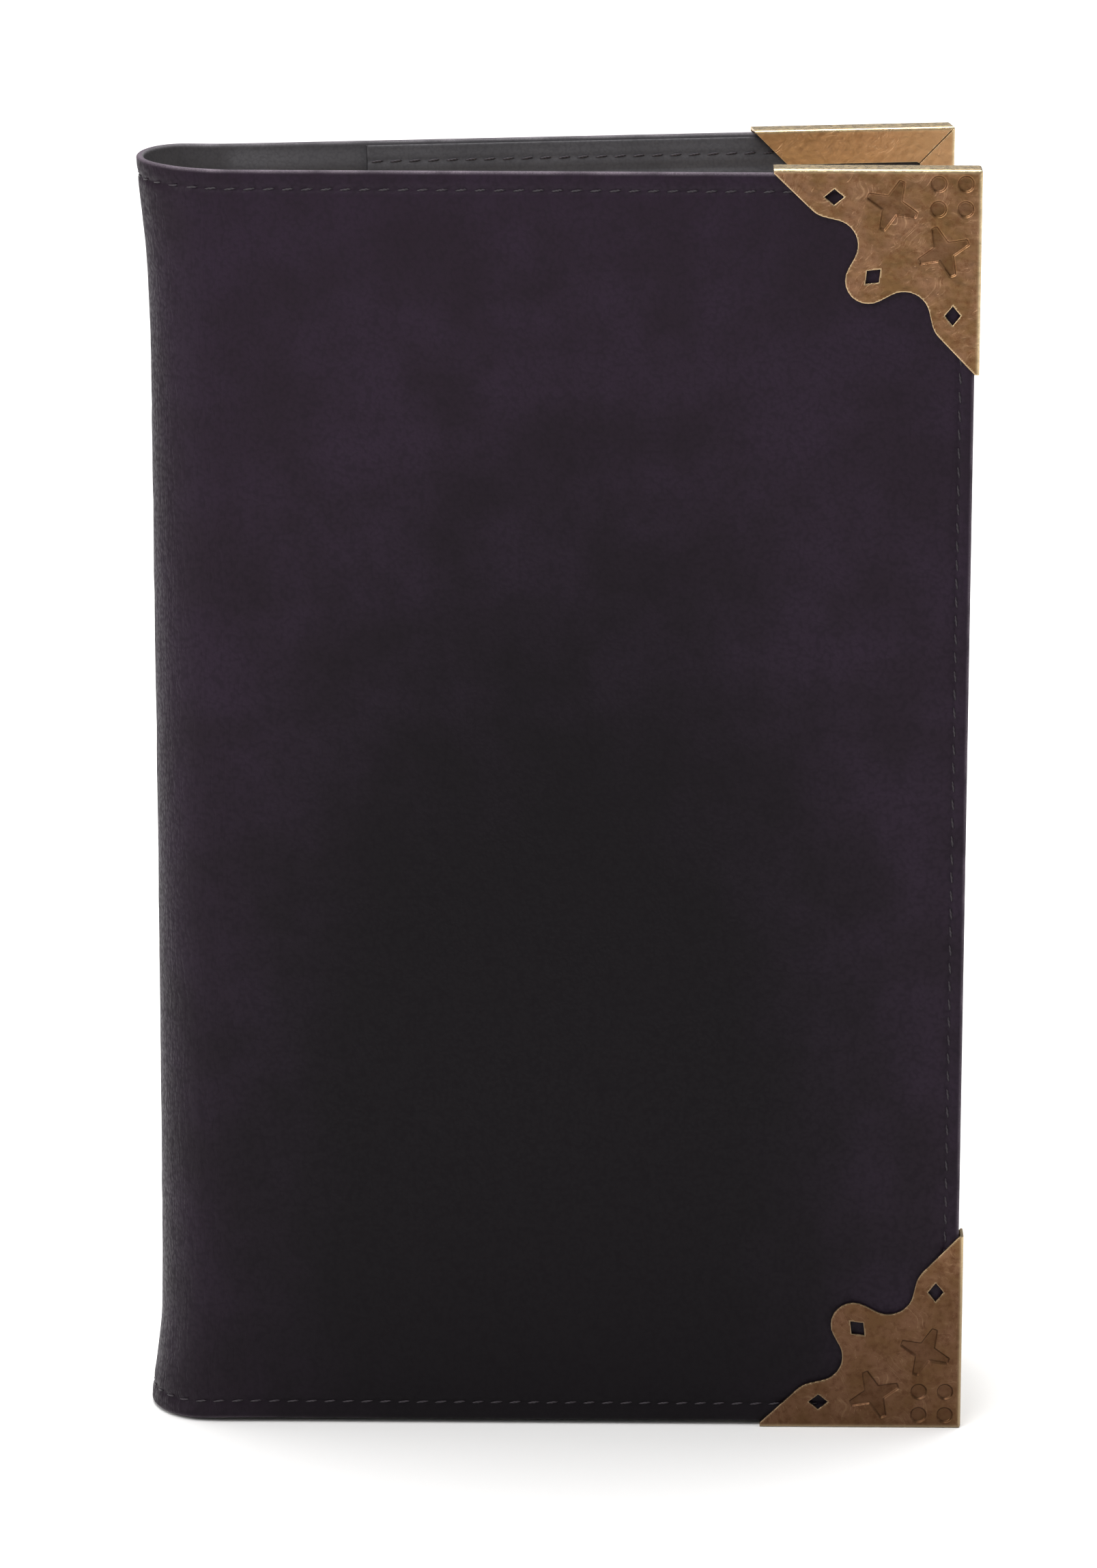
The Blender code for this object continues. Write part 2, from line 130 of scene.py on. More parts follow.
def places(start, end, step, near=(0,), far=(0,)):
    # an even run of places from start to end, with closer ones at each end
    low, high = start + near[-1], end - far[-1]
    even = np.linspace(low, high, max(2, round((high - low) / step) + 1))
    return np.array([*(start + d for d in near[:-1]), *even, *(end - d for d in far[-2::-1])])


def planPath(points):
    # a smooth run in plan, as length, x, y and the way out of the book
    points = np.array(points, float)
    length = np.concatenate([[0], np.cumsum(np.hypot(*np.diff(points, axis=0).T))])
    ahead = np.gradient(points, length, axis=0)
    ahead /= np.hypot(*ahead.T)[:, None]
    return {"s": length, "x": points[:, 0], "y": points[:, 1], "outX": -ahead[:, 1], "outY": ahead[:, 0]}


def onPath(path, s, depth):
    x, y, outX, outY = (np.interp(s, path["s"], path[key]) for key in ("x", "y", "outX", "outY"))
    return x - outX * depth, y - outY * depth


def coverPoint(along, depth):
    # a point of the back cover in plan, from its hinge and below its face
    out = jacket["hingeDepth"] - depth
    c, s = math.cos(restAngle), math.sin(restAngle)
    return hinge[0] + along * c - out * s, hinge[1] + along * s + out * c


def bend(start, startPull, endPull, end, steps=40):
    # a smooth bend between two points, pulled out along two handles
    start, startPull, endPull, end = (np.array(point, float) for point in (start, startPull, endPull, end))
    t = np.linspace(0, 1, steps)[:, None]
    return start * (1 - t) ** 3 + 3 * startPull * t * (1 - t) ** 2 + 3 * endPull * t**2 * (1 - t) + end * t**3


def edgeRound(distance, radius):
    near = np.maximum(radius - np.maximum(distance, 0), 0)
    return radius - np.sqrt(np.maximum(radius**2 - near**2, 0))


def makePiece(work, name, finish, smoothAngle=38):
    # turns a bmesh in millimetres into a finished piece
    bmesh.ops.transform(work, matrix=toFrame, verts=work.verts)
    mesh = bpy.data.meshes.new(name)
    work.to_mesh(mesh)
    work.free()
    mesh.materials.append(finish)
    mesh.shade_smooth()
    mesh.set_sharp_from_angle(angle=math.radians(smoothAngle))
    made = bpy.data.objects.new(name, mesh)
    scene.collection.objects.link(made)
    return made


def addSheet(work, us, vs, face, back, put, side=1):
    # a closed sheet: two grids, the face and the back of it, are moved into place and joined round the edge
    cut = work.verts.layers.float_vector.get("cut") or work.verts.layers.float_vector.new("cut")
    fresh = []
    for outside in (True, False):
        across = np.array([us[0], *us, us[-1]]) if outside else us
        up = np.array([vs[0], *vs, vs[-1]]) if outside else vs
        columns, rows = len(across) - 1, len(up) - 1
        verts = bmesh.ops.create_grid(work, x_segments=columns, y_segments=rows, size=0.5)["verts"]
        spots = np.array([vert.co[:2] for vert in verts]) + 0.5
        i, j = np.rint(spots * (columns, rows)).astype(int).T
        u, v = across[i], up[j]
        depth = back(u, v)
        if outside:
            rim = (i == 0) | (i == columns) | (j == 0) | (j == rows)
            depth = np.where(rim, depth, face(u, v))
        x, y, z = put(u, v, depth)
        for vert, spot, flat in zip(
            verts, np.stack([x, side * y, z], 1).tolist(), np.stack([side * u, depth, v], 1).tolist()
        ):
            vert.co = spot
            vert[cut] = flat
        fresh += verts
    faces = list({item for vert in fresh for item in vert.link_faces})
    bmesh.ops.remove_doubles(work, verts=fresh, dist=0.004)
    return [item for item in faces if item.is_valid]


def sheetPiece(name, finish, *sheets):
    work = bmesh.new()
    for settings in sheets:
        addSheet(work, **settings)
    bmesh.ops.recalc_face_normals(work, faces=work.faces)
    return makePiece(work, name, finish)


# materials
def hexColour(text):
    parts = [int(text[i : i + 2], 16) / 255 for i in (1, 3, 5)]
    return (*(part / 12.92 if part <= 0.04045 else ((part + 0.055) / 1.055) ** 2.4 for part in parts), 1.0)


def setSocket(tree, socket, value):
    # a socket takes a number, a hex colour, another socket, or a node, which gives its first output in use
    if isinstance(value, bpy.types.Node):
        value = next(output for output in value.outputs if output.enabled)
    if isinstance(value, bpy.types.NodeSocket):
        tree.links.new(value, socket)
    else:
        socket.default_value = hexColour(value) if isinstance(value, str) else value


def addNode(tree, kind, settings, *values, **links):
    # settings are a node's properties and fixed sockets, values fill its sockets in order, links go by name
    node = tree.nodes.new("ShaderNode" + kind)
    for key, value in settings.items():
        if key in node.inputs:
            node.inputs[key].default_value = value
        else:
            setattr(node, key, value)
    for socket, value in zip([socket for socket in node.inputs if socket.enabled], values):
        setSocket(tree, socket, value)
    for key, value in links.items():
        setSocket(tree, node.inputs[key], value)
    return node


def newMaterial(name, **sockets):
    made = bpy.data.materials.new(name)
    made.use_nodes = True
    tree = made.node_tree
    shader = tree.nodes["Principled BSDF"]
    for key, value in sockets.items():
        shader.inputs[key.replace("_", " ")].default_value = value
    return made, tree, shader


add = {"operation": "ADD"}
larger = {"operation": "MAXIMUM"}
multiply = {"operation": "MULTIPLY"}
subtract = {"operation": "SUBTRACT"}
blended = {"data_type": "RGBA"}
eased = {"interpolation_type": "SMOOTHSTEP"}


def makeLeather(name, look):
    # full-grain pebbled calf, aniline dyed: soft rounded pebbles, a low waxy sheen, with painted shade darkening the
    # middle and lower covers
    made, tree, shader = newMaterial(name, IOR=1.5, Specular_IOR_Level=look["gloss"])
    flat = addNode(tree, "Attribute", {"attribute_name": "cut"}).outputs["Vector"]
    wander = addNode(tree, "TexNoise", {"Scale": 0.35, "Detail": 2.0}, Vector=flat).outputs["Color"]
    nudge = addNode(tree, "VectorMath", {"operation": "MULTIPLY_ADD"}, wander, (1.3, 1.3, 1.3), flat)
    # pebbles 0.7 mm across with finer ones between
    pebble = addNode(
        tree, "TexVoronoi", {"feature": "SMOOTH_F1", "Scale": look["pebbles"], "Smoothness": 0.5}, Vector=nudge
    ).outputs["Distance"]
    small = addNode(
        tree, "TexVoronoi", {"feature": "F1", "Scale": look["pebbles"] * 2.3}, Vector=nudge
    ).outputs["Distance"]
    patch = addNode(
        tree, "TexNoise", {"Scale": 0.055, "Detail": 3.0, "Roughness": 0.6}, Vector=flat
    ).outputs["Fac"]
    pores = addNode(tree, "TexNoise", {"Scale": 6.0, "Detail": 2.0}, Vector=flat).outputs["Fac"]
    # fine upright wrinkles, 1.5 mm apart, where the leather bends round the spine
    upright = addNode(tree, "Mapping", {"Scale": (0.62, 0.62, 0.075)}, Vector=nudge)
    wrinkle = addNode(
        tree, "TexNoise", {"Scale": 1.0, "Detail": 3.0, "Roughness": 0.55}, Vector=upright
    ).outputs["Fac"]
    ridge = addNode(
        tree, "MapRange", eased,
        addNode(tree, "Math", {"operation": "ABSOLUTE"}, addNode(tree, "Math", subtract, wrinkle, 0.5)), 0.0,
        0.09,
    )
    parts = addNode(tree, "SeparateXYZ", {}, flat)
    fromSpine = addNode(tree, "Math", {"operation": "ABSOLUTE"}, parts.outputs[0])
    spineShare = addNode(tree, "MapRange", eased, fromSpine, 12.0, 30.0, 0.8, 0.08)
    depthOfGrain = addNode(tree, "MapRange", eased, patch, 0.3, 0.72, 0.45, 1.0)
    grain = addNode(
        tree, "Math", multiply,
        addNode(tree, "Math", add, pebble, addNode(tree, "Math", multiply, small, 0.35)), depthOfGrain,
    )
    wrinkled = addNode(tree, "Math", multiply, addNode(tree, "Math", subtract, 1.0, ridge), spineShare)
    height = addNode(
        tree, "Math", add, addNode(tree, "Math", multiply, grain, -1.0),
        addNode(tree, "Math", multiply, wrinkled, -0.9),
    )
    height = addNode(tree, "Math", add, height, addNode(tree, "Math", multiply, pores, 0.12))
    bump = addNode(tree, "Bump", {"Strength": 1.0, "Distance": look["relief"] * mm}, Height=height)
    setSocket(tree, shader.inputs["Normal"], bump)
    # colour: deeper in the valleys, a little warmer in patches, paler at the very edges where it is rubbed, with a
    # painted highlight along them
    hide = addNode(
        tree, "Mix", blended, addNode(tree, "MapRange", eased, patch, 0.34, 0.68), look["deep"], look["warm"]
    )
    hide = addNode(
        tree, "Mix", blended, addNode(tree, "MapRange", eased, pebble, 0.4, 0.8, 0.0, look["contrast"]), hide,
        look["valley"],
    )
    # pale edge colour: rubbing wear and a painted highlight along the edges
    edge = addNode(tree, "Attribute", {"attribute_name": "edge"}).outputs["Fac"]
    edgeWearAndHighlight = addNode(
        tree, "Math", multiply, edge, addNode(tree, "MapRange", eased, pores, 0.35, 0.6, 0.55, 1.0)
    )
    hide = addNode(tree, "Mix", blended, edgeWearAndHighlight, hide, look["edgeWearAndHighlight"])
    if look["paintedCentreShade"]:
        # painted shade: darker in the middle and low on the covers, for the light falling off downward and the dark
        # reflection in the middle
        across = addNode(tree, "Math", multiply, addNode(tree, "Math", subtract, fromSpine, 75.0), 1 / 75)
        upward = addNode(
            tree, "Math", multiply, addNode(tree, "Math", subtract, parts.outputs[2], 40.0), 1 / 150
        )
        squares = addNode(
            tree, "Math", add, addNode(tree, "Math", multiply, across, across),
            addNode(tree, "Math", multiply, upward, upward),
        )
        away = addNode(
            tree, "Math", add, addNode(tree, "Math", {"operation": "SQRT"}, squares),
            addNode(tree, "Math", multiply, addNode(tree, "Math", subtract, patch, 0.5), 0.35),
        )
        paintedCentreShade = addNode(tree, "MapRange", eased, away, 0.42, 1.12)
        # the painted shade colour is mixed in where the mask is low
        hide = addNode(tree, "Mix", blended, paintedCentreShade, look["centreShadeColour"], hide)
    setSocket(tree, shader.inputs["Base Color"], hide)
    worn = addNode(tree, "MapRange", eased, pebble, 0.2, 0.8, look["smoothest"], look["roughest"])
    setSocket(tree, shader.inputs["Roughness"], worn)
    return made


coverLeather = makeLeather("pebbledCalfLeather", {
    "gloss": 0.13,
    "pebbles": 1.45,
    "contrast": 0.3,
    "relief": 0.05,
    "deep": "#1d131d",
    "warm": "#231825",
    "valley": "#0f0a10",
    "edgeWearAndHighlight": "#6b616a",
    "paintedCentreShade": True,
    # painted shade colour for the middle and lower covers
    "centreShadeColour": "#090509",
    "smoothest": 0.44,
    "roughest": 0.62,
})
liningLeather = makeLeather("paredLiningLeather", {
    "gloss": 0.3,
    "pebbles": 1.9,
    "contrast": 0.28,
    "relief": 0.03,
    "deep": "#312f32",
    "warm": "#373538",
    "valley": "#242326",
    "edgeWearAndHighlight": "#6b676b",
    "paintedCentreShade": False,
    "smoothest": 0.6,
    "roughest": 0.75,
})


def makeThread():
    # waxed linen thread, three strands twisted together: small bright glints along each stitch
    made, tree, shader = newMaterial("waxedLinenThread", Roughness=0.5, Specular_IOR_Level=0.4)
    place = addNode(tree, "TexCoord", {}).outputs["Object"]
    fuzz = addNode(tree, "TexNoise", {"Scale": 2500.0, "Detail": 2.0}, Vector=place).outputs["Fac"]
    twist = addNode(
        tree, "TexWave", {"Scale": 900.0, "Distortion": 1.5, "bands_direction": "DIAGONAL"}, Vector=place
    ).outputs["Fac"]
    setSocket(tree, shader.inputs["Base Color"], addNode(tree, "Mix", blended, twist, "#161116", "#2e262d"))
    height = addNode(tree, "Math", add, twist, fuzz)
    bump = addNode(tree, "Bump", {"Strength": 0.7, "Distance": 0.00005}, Height=height)
    setSocket(tree, shader.inputs["Normal"], bump)
    return made


thread = makeThread()


def makeCard():
    # embossed cover card, printed deep red outside and left cream inside
    made, tree, shader = newMaterial("embossedCoverCard", Roughness=0.68, Specular_IOR_Level=0.35)
    flat = addNode(tree, "Attribute", {"attribute_name": "cut"}).outputs["Vector"]
    depth = addNode(tree, "SeparateXYZ", {}, flat).outputs[1]
    inside = addNode(tree, "MapRange", eased, depth, 0.2, 0.3)
    linen = addNode(tree, "TexVoronoi", {"feature": "F1", "Scale": 2.2}, Vector=flat).outputs["Distance"]
    fibre = addNode(
        tree, "TexNoise", {"Scale": 1.4, "Detail": 6.0, "Roughness": 0.65}, Vector=flat
    ).outputs["Fac"]
    red = addNode(tree, "Mix", blended, fibre, "#3c1013", "#581c1c")
    cream = addNode(tree, "Mix", blended, fibre, "#d9cbac", "#eee4cb")
    setSocket(tree, shader.inputs["Base Color"], addNode(tree, "Mix", blended, inside, red, cream))
    height = addNode(tree, "Math", add, addNode(tree, "Math", multiply, linen, -0.6), fibre)
    bump = addNode(tree, "Bump", {"Strength": 0.6, "Distance": 0.00004}, Height=height)
    setSocket(tree, shader.inputs["Normal"], bump)
    return made


coverCard = makeCard()


def makePaper():
    # thin uncoated book paper: cream, faintly mottled, with the fibres showing at the cut edges
    made, tree, shader = newMaterial("uncoatedBookPaper", Roughness=0.85, Specular_IOR_Level=0.25)
    place = addNode(tree, "TexCoord", {}).outputs["Object"]
    mottle = addNode(
        tree, "TexNoise", {"Scale": 420.0, "Detail": 4.0, "Roughness": 0.6}, Vector=place
    ).outputs["Fac"]
    fibre = addNode(tree, "TexNoise", {"Scale": 1400.0, "Detail": 3.0}, Vector=place).outputs["Fac"]
    tone = addNode(
        tree, "Mix", blended, addNode(tree, "MapRange", eased, mottle, 0.3, 0.7), "#efe8d7", "#f6f1e4"
    )
    setSocket(
        tree, shader.inputs["Base Color"],
        addNode(tree, "Mix", blended, addNode(tree, "MapRange", eased, fibre, 0.55, 0.8, 0.0, 0.3), tone, "#ded4be"),
    )
    bump = addNode(tree, "Bump", {"Strength": 0.4, "Distance": 0.00003}, Height=fibre)
    setSocket(tree, shader.inputs["Normal"], bump)
    return made


bookPaper = makePaper()


def makeCloth():
    # stiffened book muslin: an open plain weave, 0.8 mm from thread to thread
    made, tree, shader = newMaterial("stiffenedMuslin", Roughness=0.9, Specular_IOR_Level=0.2)
    place = addNode(tree, "TexCoord", {}).outputs["Object"]
    weft = addNode(
        tree, "TexWave", {"Scale": 200.0, "bands_direction": "Z", "Distortion": 0.4}, Vector=place
    ).outputs["Fac"]
    warp = addNode(
        tree, "TexWave", {"Scale": 200.0, "bands_direction": "Y", "Distortion": 0.4}, Vector=place
    ).outputs["Fac"]
    weave = addNode(tree, "Math", larger, weft, warp)
    setSocket(tree, shader.inputs["Base Color"], addNode(tree, "Mix", blended, weave, "#8d8062", "#d6c9a6"))
    bump = addNode(tree, "Bump", {"Strength": 0.8, "Distance": 0.00012}, Height=weave)
    setSocket(tree, shader.inputs["Normal"], bump)
    return made


muslin = makeCloth()


def makeBoard():
    # grey millboard: dull, flecked with darker fibres
    made, tree, shader = newMaterial("greyMillboard", Roughness=0.9, Specular_IOR_Level=0.2)
    place = addNode(tree, "TexCoord", {}).outputs["Object"]
    fleck = addNode(
        tree, "TexNoise", {"Scale": 700.0, "Detail": 4.0, "Roughness": 0.7}, Vector=place
    ).outputs["Fac"]
    setSocket(
        tree, shader.inputs["Base Color"],
        addNode(tree, "Mix", blended, addNode(tree, "MapRange", eased, fleck, 0.35, 0.65), "#6f6a62", "#918b80"),
    )
    bump = addNode(tree, "Bump", {"Strength": 0.5, "Distance": 0.00004}, Height=fleck)
    setSocket(tree, shader.inputs["Normal"], bump)
    return made


millboard = makeBoard()


def makeSilk():
    # silk-wound headband, cream and deep red turns beside each other
    made, tree, shader = newMaterial("silkWoundHeadband", Roughness=0.5, Sheen_Weight=0.4)
    flat = addNode(tree, "Attribute", {"attribute_name": "cut"}).outputs["Vector"]
    along = addNode(tree, "SeparateXYZ", {}, flat).outputs[2]
    band = addNode(tree, "Math", {"operation": "PINGPONG"}, along, 1.05)
    strand = addNode(tree, "TexNoise", {"Scale": 3.0, "Detail": 3.0}, Vector=flat).outputs["Fac"]
    red = addNode(tree, "Mix", blended, strand, "#5a1618", "#7a2624")
    cream = addNode(tree, "Mix", blended, strand, "#d8c9a4", "#efe3c4")
    setSocket(
        tree, shader.inputs["Base Color"],
        addNode(tree, "Mix", blended, addNode(tree, "MapRange", eased, band, 0.48, 0.57), red, cream),
    )
    return made


silk = makeSilk()


def makeBrass():
    # antiqued brass plate, stamped and rubbed back: brown in the hollows, bright on edges where rubbed and with a
    # painted highlight along them, painted light on the folded-in side, painted shade toward the foot, with fine
    # scratches
    made, tree, shader = newMaterial("antiquedBrassPlate", Metallic=1.0)
    place = addNode(tree, "Attribute", {"attribute_name": "cut"}).outputs["Vector"]
    cloud = addNode(
        tree, "TexNoise", {"Scale": 0.16, "Detail": 5.0, "Roughness": 0.65}, Vector=place
    ).outputs["Fac"]
    mottle = addNode(
        tree, "TexNoise", {"Scale": 0.9, "Detail": 4.0, "Roughness": 0.7}, Vector=place
    ).outputs["Fac"]
    beaten = addNode(
        tree, "TexVoronoi", {"feature": "SMOOTH_F1", "Scale": 0.75, "Smoothness": 0.6}, Vector=place
    ).outputs["Distance"]
    # strokes 0.2 mm wide and a few long, wandering in direction,
    # with softer smears where the brown was rubbed off
    wander = addNode(tree, "TexNoise", {"Scale": 0.16, "Detail": 1.0}, Vector=place).outputs["Color"]
    curved = addNode(tree, "VectorMath", {"operation": "MULTIPLY_ADD"}, wander, (9.0, 9.0, 0.0), place)
    strokes = []
    for angle, across, along, start, soft in (
        (0.8, 0.3, 2.6, 0.63, 0.07), (2.3, 0.26, 1.6, 0.66, 0.05), (0.85, 0.75, 4.2, 0.54, 0.22)
    ):
        turned = addNode(
            tree, "Mapping",
            {"vector_type": "TEXTURE", "Rotation": (0, 0, angle), "Scale": (along, across, 1.0)}, Vector=curved,
        )
        lines = addNode(
            tree, "TexNoise", {"Scale": 1.0, "Detail": 3.0, "Roughness": 0.65}, Vector=turned
        ).outputs["Fac"]
        strokes.append(addNode(tree, "MapRange", eased, lines, start, start + soft))
    fine = addNode(
        tree, "Math", multiply, addNode(tree, "Math", larger, strokes[0], strokes[1]),
        addNode(tree, "MapRange", eased, cloud, 0.4, 0.6, 0.1, 0.9),
    )
    smear = addNode(
        tree, "Math", multiply, strokes[2], addNode(tree, "MapRange", eased, cloud, 0.42, 0.6, 0.15, 0.9)
    )
    scratches = addNode(tree, "Math", larger, fine, smear)
    press = addNode(tree, "Attribute", {"attribute_name": "press"}).outputs["Fac"]
    rubbedEdgeAndHighlight = addNode(tree, "Attribute", {"attribute_name": "edge"}).outputs["Fac"]
    parts = addNode(tree, "SeparateXYZ", {}, place)
    standing = addNode(tree, "SeparateXYZ", {}, addNode(tree, "TexCoord", {}).outputs["Object"])
    scratches = addNode(tree, "Math", multiply, scratches, addNode(tree, "Math", subtract, 1.0, press))
    # painted shade: the brown darkens toward the foot of the book, where the light falls off; painted light: paler
    # on the folded-in side, which faces the dark inside of the cover
    foot = addNode(tree, "MapRange", eased, standing.outputs[2], 0.02, 0.05, 0.62, 0.0)
    foldedInPaintedLight = addNode(tree, "MapRange", eased, parts.outputs[2], 3.0, 3.6, 0.0, 0.6)
    tone = addNode(
        tree, "Mix", blended, addNode(tree, "MapRange", eased, cloud, 0.35, 0.66), "#7b5c3c", "#8e6a50"
    )
    tone = addNode(
        tree, "Mix", blended, addNode(tree, "MapRange", eased, mottle, 0.45, 0.72, 0.0, 0.7), tone, "#6a452c"
    )
    # painted light on the folded-in side
    tone = addNode(tree, "Mix", blended, foldedInPaintedLight, tone, "#e0b07e")
    tone = addNode(tree, "Mix", blended, addNode(tree, "Math", multiply, press, 0.3), tone, "#47301f")
    tone = addNode(tree, "Mix", blended, addNode(tree, "Math", multiply, scratches, 0.55), tone, "#cfa882")
    # rubbed bright edges, with a painted highlight along the folds and cut edges
    tone = addNode(tree, "Mix", blended, rubbedEdgeAndHighlight, tone, "#e6cfa4")
    # painted shade toward the foot of the book
    tone = addNode(tree, "Mix", blended, foot, tone, "#36231a")
    setSocket(tree, shader.inputs["Base Color"], tone)
    rough = addNode(tree, "MapRange", eased, mottle, 0.3, 0.75, 0.34, 0.52)
    rough = addNode(tree, "Math", subtract, rough, addNode(tree, "Math", multiply, rubbedEdgeAndHighlight, 0.14))
    setSocket(tree, shader.inputs["Roughness"], rough)
    height = addNode(
        tree, "Math", add, addNode(tree, "Math", multiply, beaten, 0.9),
        addNode(tree, "Math", multiply, mottle, 0.6),
    )
    height = addNode(tree, "Math", add, height, addNode(tree, "Math", multiply, scratches, -0.35))
    bump = addNode(tree, "Bump", {"Strength": 1.0, "Distance": 0.00006}, Height=height)
    setSocket(tree, shader.inputs["Normal"], bump)
    return made


brass = makeBrass()
print("materials ready")

# the jacket: two halves that meet down the middle of the spine, each curving round from the spine onto its cover
jacket = {
    "spineDepth": 11.5,  # half axes of the spine's plan
    "spineHalf": 13.1,
    "hingeDepth": 0.4,  # hinge axis below the cover's face
    "coverWidth": 126.5,  # hinge to fore-edge
    "foot": 0.8,
    "head": 222.8,
    "skin": 0.8,
    "spineWall": 1.65,  # skin and lining
    "coverWall": 2.6,  # skin, board and lining
    "edgeWall": 1.3,
    "edgeRound": 0.55,
    "hemmed": 4.5,  # from here out there is no board, only leather sewn together
    "turnIn": 10.0,
    "turnInWall": 0.5,
    "seamIn": 3.2,
    "seamFore": 2.4,
    "stitch": 3.25,
    "bendFrom": 7.0,
    "bendTo": 15.5,
}
spineTurn = np.radians(np.linspace(0, 60, 70))
spineRun = np.stack([
    jacket["spineDepth"] * (1 - np.cos(spineTurn)),
    jacket["spineHalf"] * np.sin(spineTurn),
], 1)
runsOn = np.array(
    [jacket["spineDepth"] * math.sin(spineTurn[-1]), jacket["spineHalf"] * math.cos(spineTurn[-1])]
)
runsOn /= np.hypot(*runsOn)
joinAt, joinEnd = coverPoint(6.0, 0), coverPoint(jacket["coverWidth"], 0)
coverWay = np.array([math.cos(restAngle), math.sin(restAngle)])
shoulder = bend(spineRun[-1], spineRun[-1] + runsOn * 3.2, np.array(joinAt) - coverWay * 5.2, joinAt)
jacketPath = planPath([*spineRun, *shoulder[1:], *np.linspace(joinAt, joinEnd, 30)[1:]])
jacketEnd = jacketPath["s"][-1]
hingeRun = jacketEnd - jacket["coverWidth"]  # where the hinge is along the path


def edgeDistance(s, z):
    return np.minimum.reduce([jacketEnd - s, z - jacket["foot"], jacket["head"] - z])


def hemShare(s, z):
    # 1 at the very edge, where the leather is pressed thin, to 0 inside the seam
    return 1 - smooth(0.3, jacket["hemmed"], edgeDistance(s, z))


def wallAt(s, z):
    x = np.interp(s, jacketPath["s"], jacketPath["x"])
    wall = jacket["spineWall"] + (jacket["coverWall"] - jacket["spineWall"]) * smooth(12.4, 16.2, x)
    return wall + (jacket["edgeWall"] - wall) * hemShare(s, z)


def groove(distance, width):
    return np.exp(-((distance / width) ** 2))


def seamNear(s, z):
    # distance to the seam round head, fore-edge and tail, and how far along a stitch it is
    toFore = s - (jacketEnd - jacket["seamFore"])
    toHead = z - (jacket["head"] - jacket["seamIn"])
    toTail = (jacket["foot"] + jacket["seamIn"]) - z
    level = np.maximum(toHead, toTail)
    distance = np.where(
        (toFore > 0) & (level > 0), np.hypot(toFore, level), np.minimum(abs(np.maximum(toFore, level)), 99)
    )
    phase = np.where(toFore > level, z - jacket["foot"] - jacket["seamIn"], s) / jacket["stitch"]
    return distance, phase


# the spine stands out at head and tail, where it is hemmed, and draws in between: height and stand
stance = np.array([
    (0, 1.25), (2, 1.35), (8.6, 0.35), (16, -0.55), (25, -0.75), (45, -0.75), (68, -0.7), (97, -0.6), (
        125, -0.48
    ),
    (153, -0.27), (188, -0.1), (196, 0.07), (202, 0.28), (209, 0.75), (217, 1.72), (224, 2.25),
])
levels = np.linspace(-6, 230, 473)
softened = np.convolve(np.pad(np.interp(levels, *stance.T), 8, "edge"), np.hanning(19)[1:-1] / 9, "valid")
spineStance = (levels, softened)


def makeLift(side):
    # how far the hide stands out from the plain shape: waist, soft hollows, creases and the pulled-in seam
    def broad(s, z):
        back = np.clip(-np.interp(s, jacketPath["s"], jacketPath["outX"]), 0, 1) ** 2
        waist = np.interp(z, *spineStance) * back
        soft = softNoise(
            side * s / 38 + 3, z / 34 + 7, seed=5
        ) * 0.16 + softNoise(side * s / 15, z / 17, seed=9) * 0.05
        return waist + soft * smooth(0, 16, edgeDistance(s, z)) * smooth(2, 30, s)

    def fine(s, z):
        nearSpine = 0.15 + 0.85 * (1 - smooth(9, 22, s))
        nearSpine = nearSpine * (1 - smooth(24, 34, s))
        warp = softNoise(side * s / 9 + 11, z / 13, seed=3)
        crease = 1 - abs(softNoise(side * s / 2.3 + warp * 0.9 + 5, z / 17, seed=21))
        crease = crease**5 + 0.6 * (1 - abs(softNoise(side * s / 1.3 + warp + 2, z / 8, seed=23))) ** 6
        lift = -0.065 * crease * nearSpine
        # faint slanting wrinkles low on the boards, where the hide was drawn over them
        a, b = s * 0.8 + z * 0.6, -s * 0.6 + z * 0.8
        low = groove(s - hingeRun - 70, 45) * groove(z - 34, 24)
        lift = lift + 0.05 * softNoise(a / 11, b / 2.6 + warp, seed=31) * low
        lift = lift + 0.025 * softNoise(side * s / 3.1, z / 3.4, seed=35)
        distance, phase = seamNear(s, z)
        hole = 0.5 + 0.5 * np.cos(2 * math.pi * phase)
        lift = lift - 0.2 * groove(distance, 0.5) - 0.12 * hole * groove(distance, 0.85)
        return lift + 0.05 * groove(distance - 1.6, 0.8) * (1 - hole * 0.7)

    return broad, fine


def jacketPlace(side):
    broad, fine = makeLift(side)

    def put(s, z, depth):
        top = np.clip(1 - depth / jacket["skin"], 0, 1)
        rim = smooth(0.0, 0.9, edgeDistance(s, z))
        lift = broad(s, z) + fine(s, z) * top * rim
        x, y = onPath(jacketPath, s, depth - lift)
        spread = (z - 111.8) / 111 * 0.45 * (
            1 - smooth(8, 22, s)
        )  # the spine stands a hair taller than the boards
        return x, y, z + spread

    return put


edgeRows = (
    0, 0.04, 0.12, 0.25, 0.42, 0.65, 1.0, 1.5, 2.0, 2.45, 2.8, 3.05, 3.2, 3.35, 3.6, 3.95, 4.47, 4.53, 5.3
)
foreColumns = (
    0, 0.04, 0.12, 0.25, 0.42, 0.65, 1.0, 1.35, 1.7, 2.0, 2.2, 2.4, 2.6, 2.8, 3.1, 3.6, 4.47, 4.53, 5.3
)
spineColumns = places(0, 30, 0.62, near=(0, 0.04, 0.3, 0.65))
jacketColumns = np.concatenate([spineColumns[:-1], places(30, jacketEnd, 1.12, far=foreColumns)])
jacketRows = places(jacket["foot"], jacket["head"], 1.02, near=edgeRows, far=edgeRows)


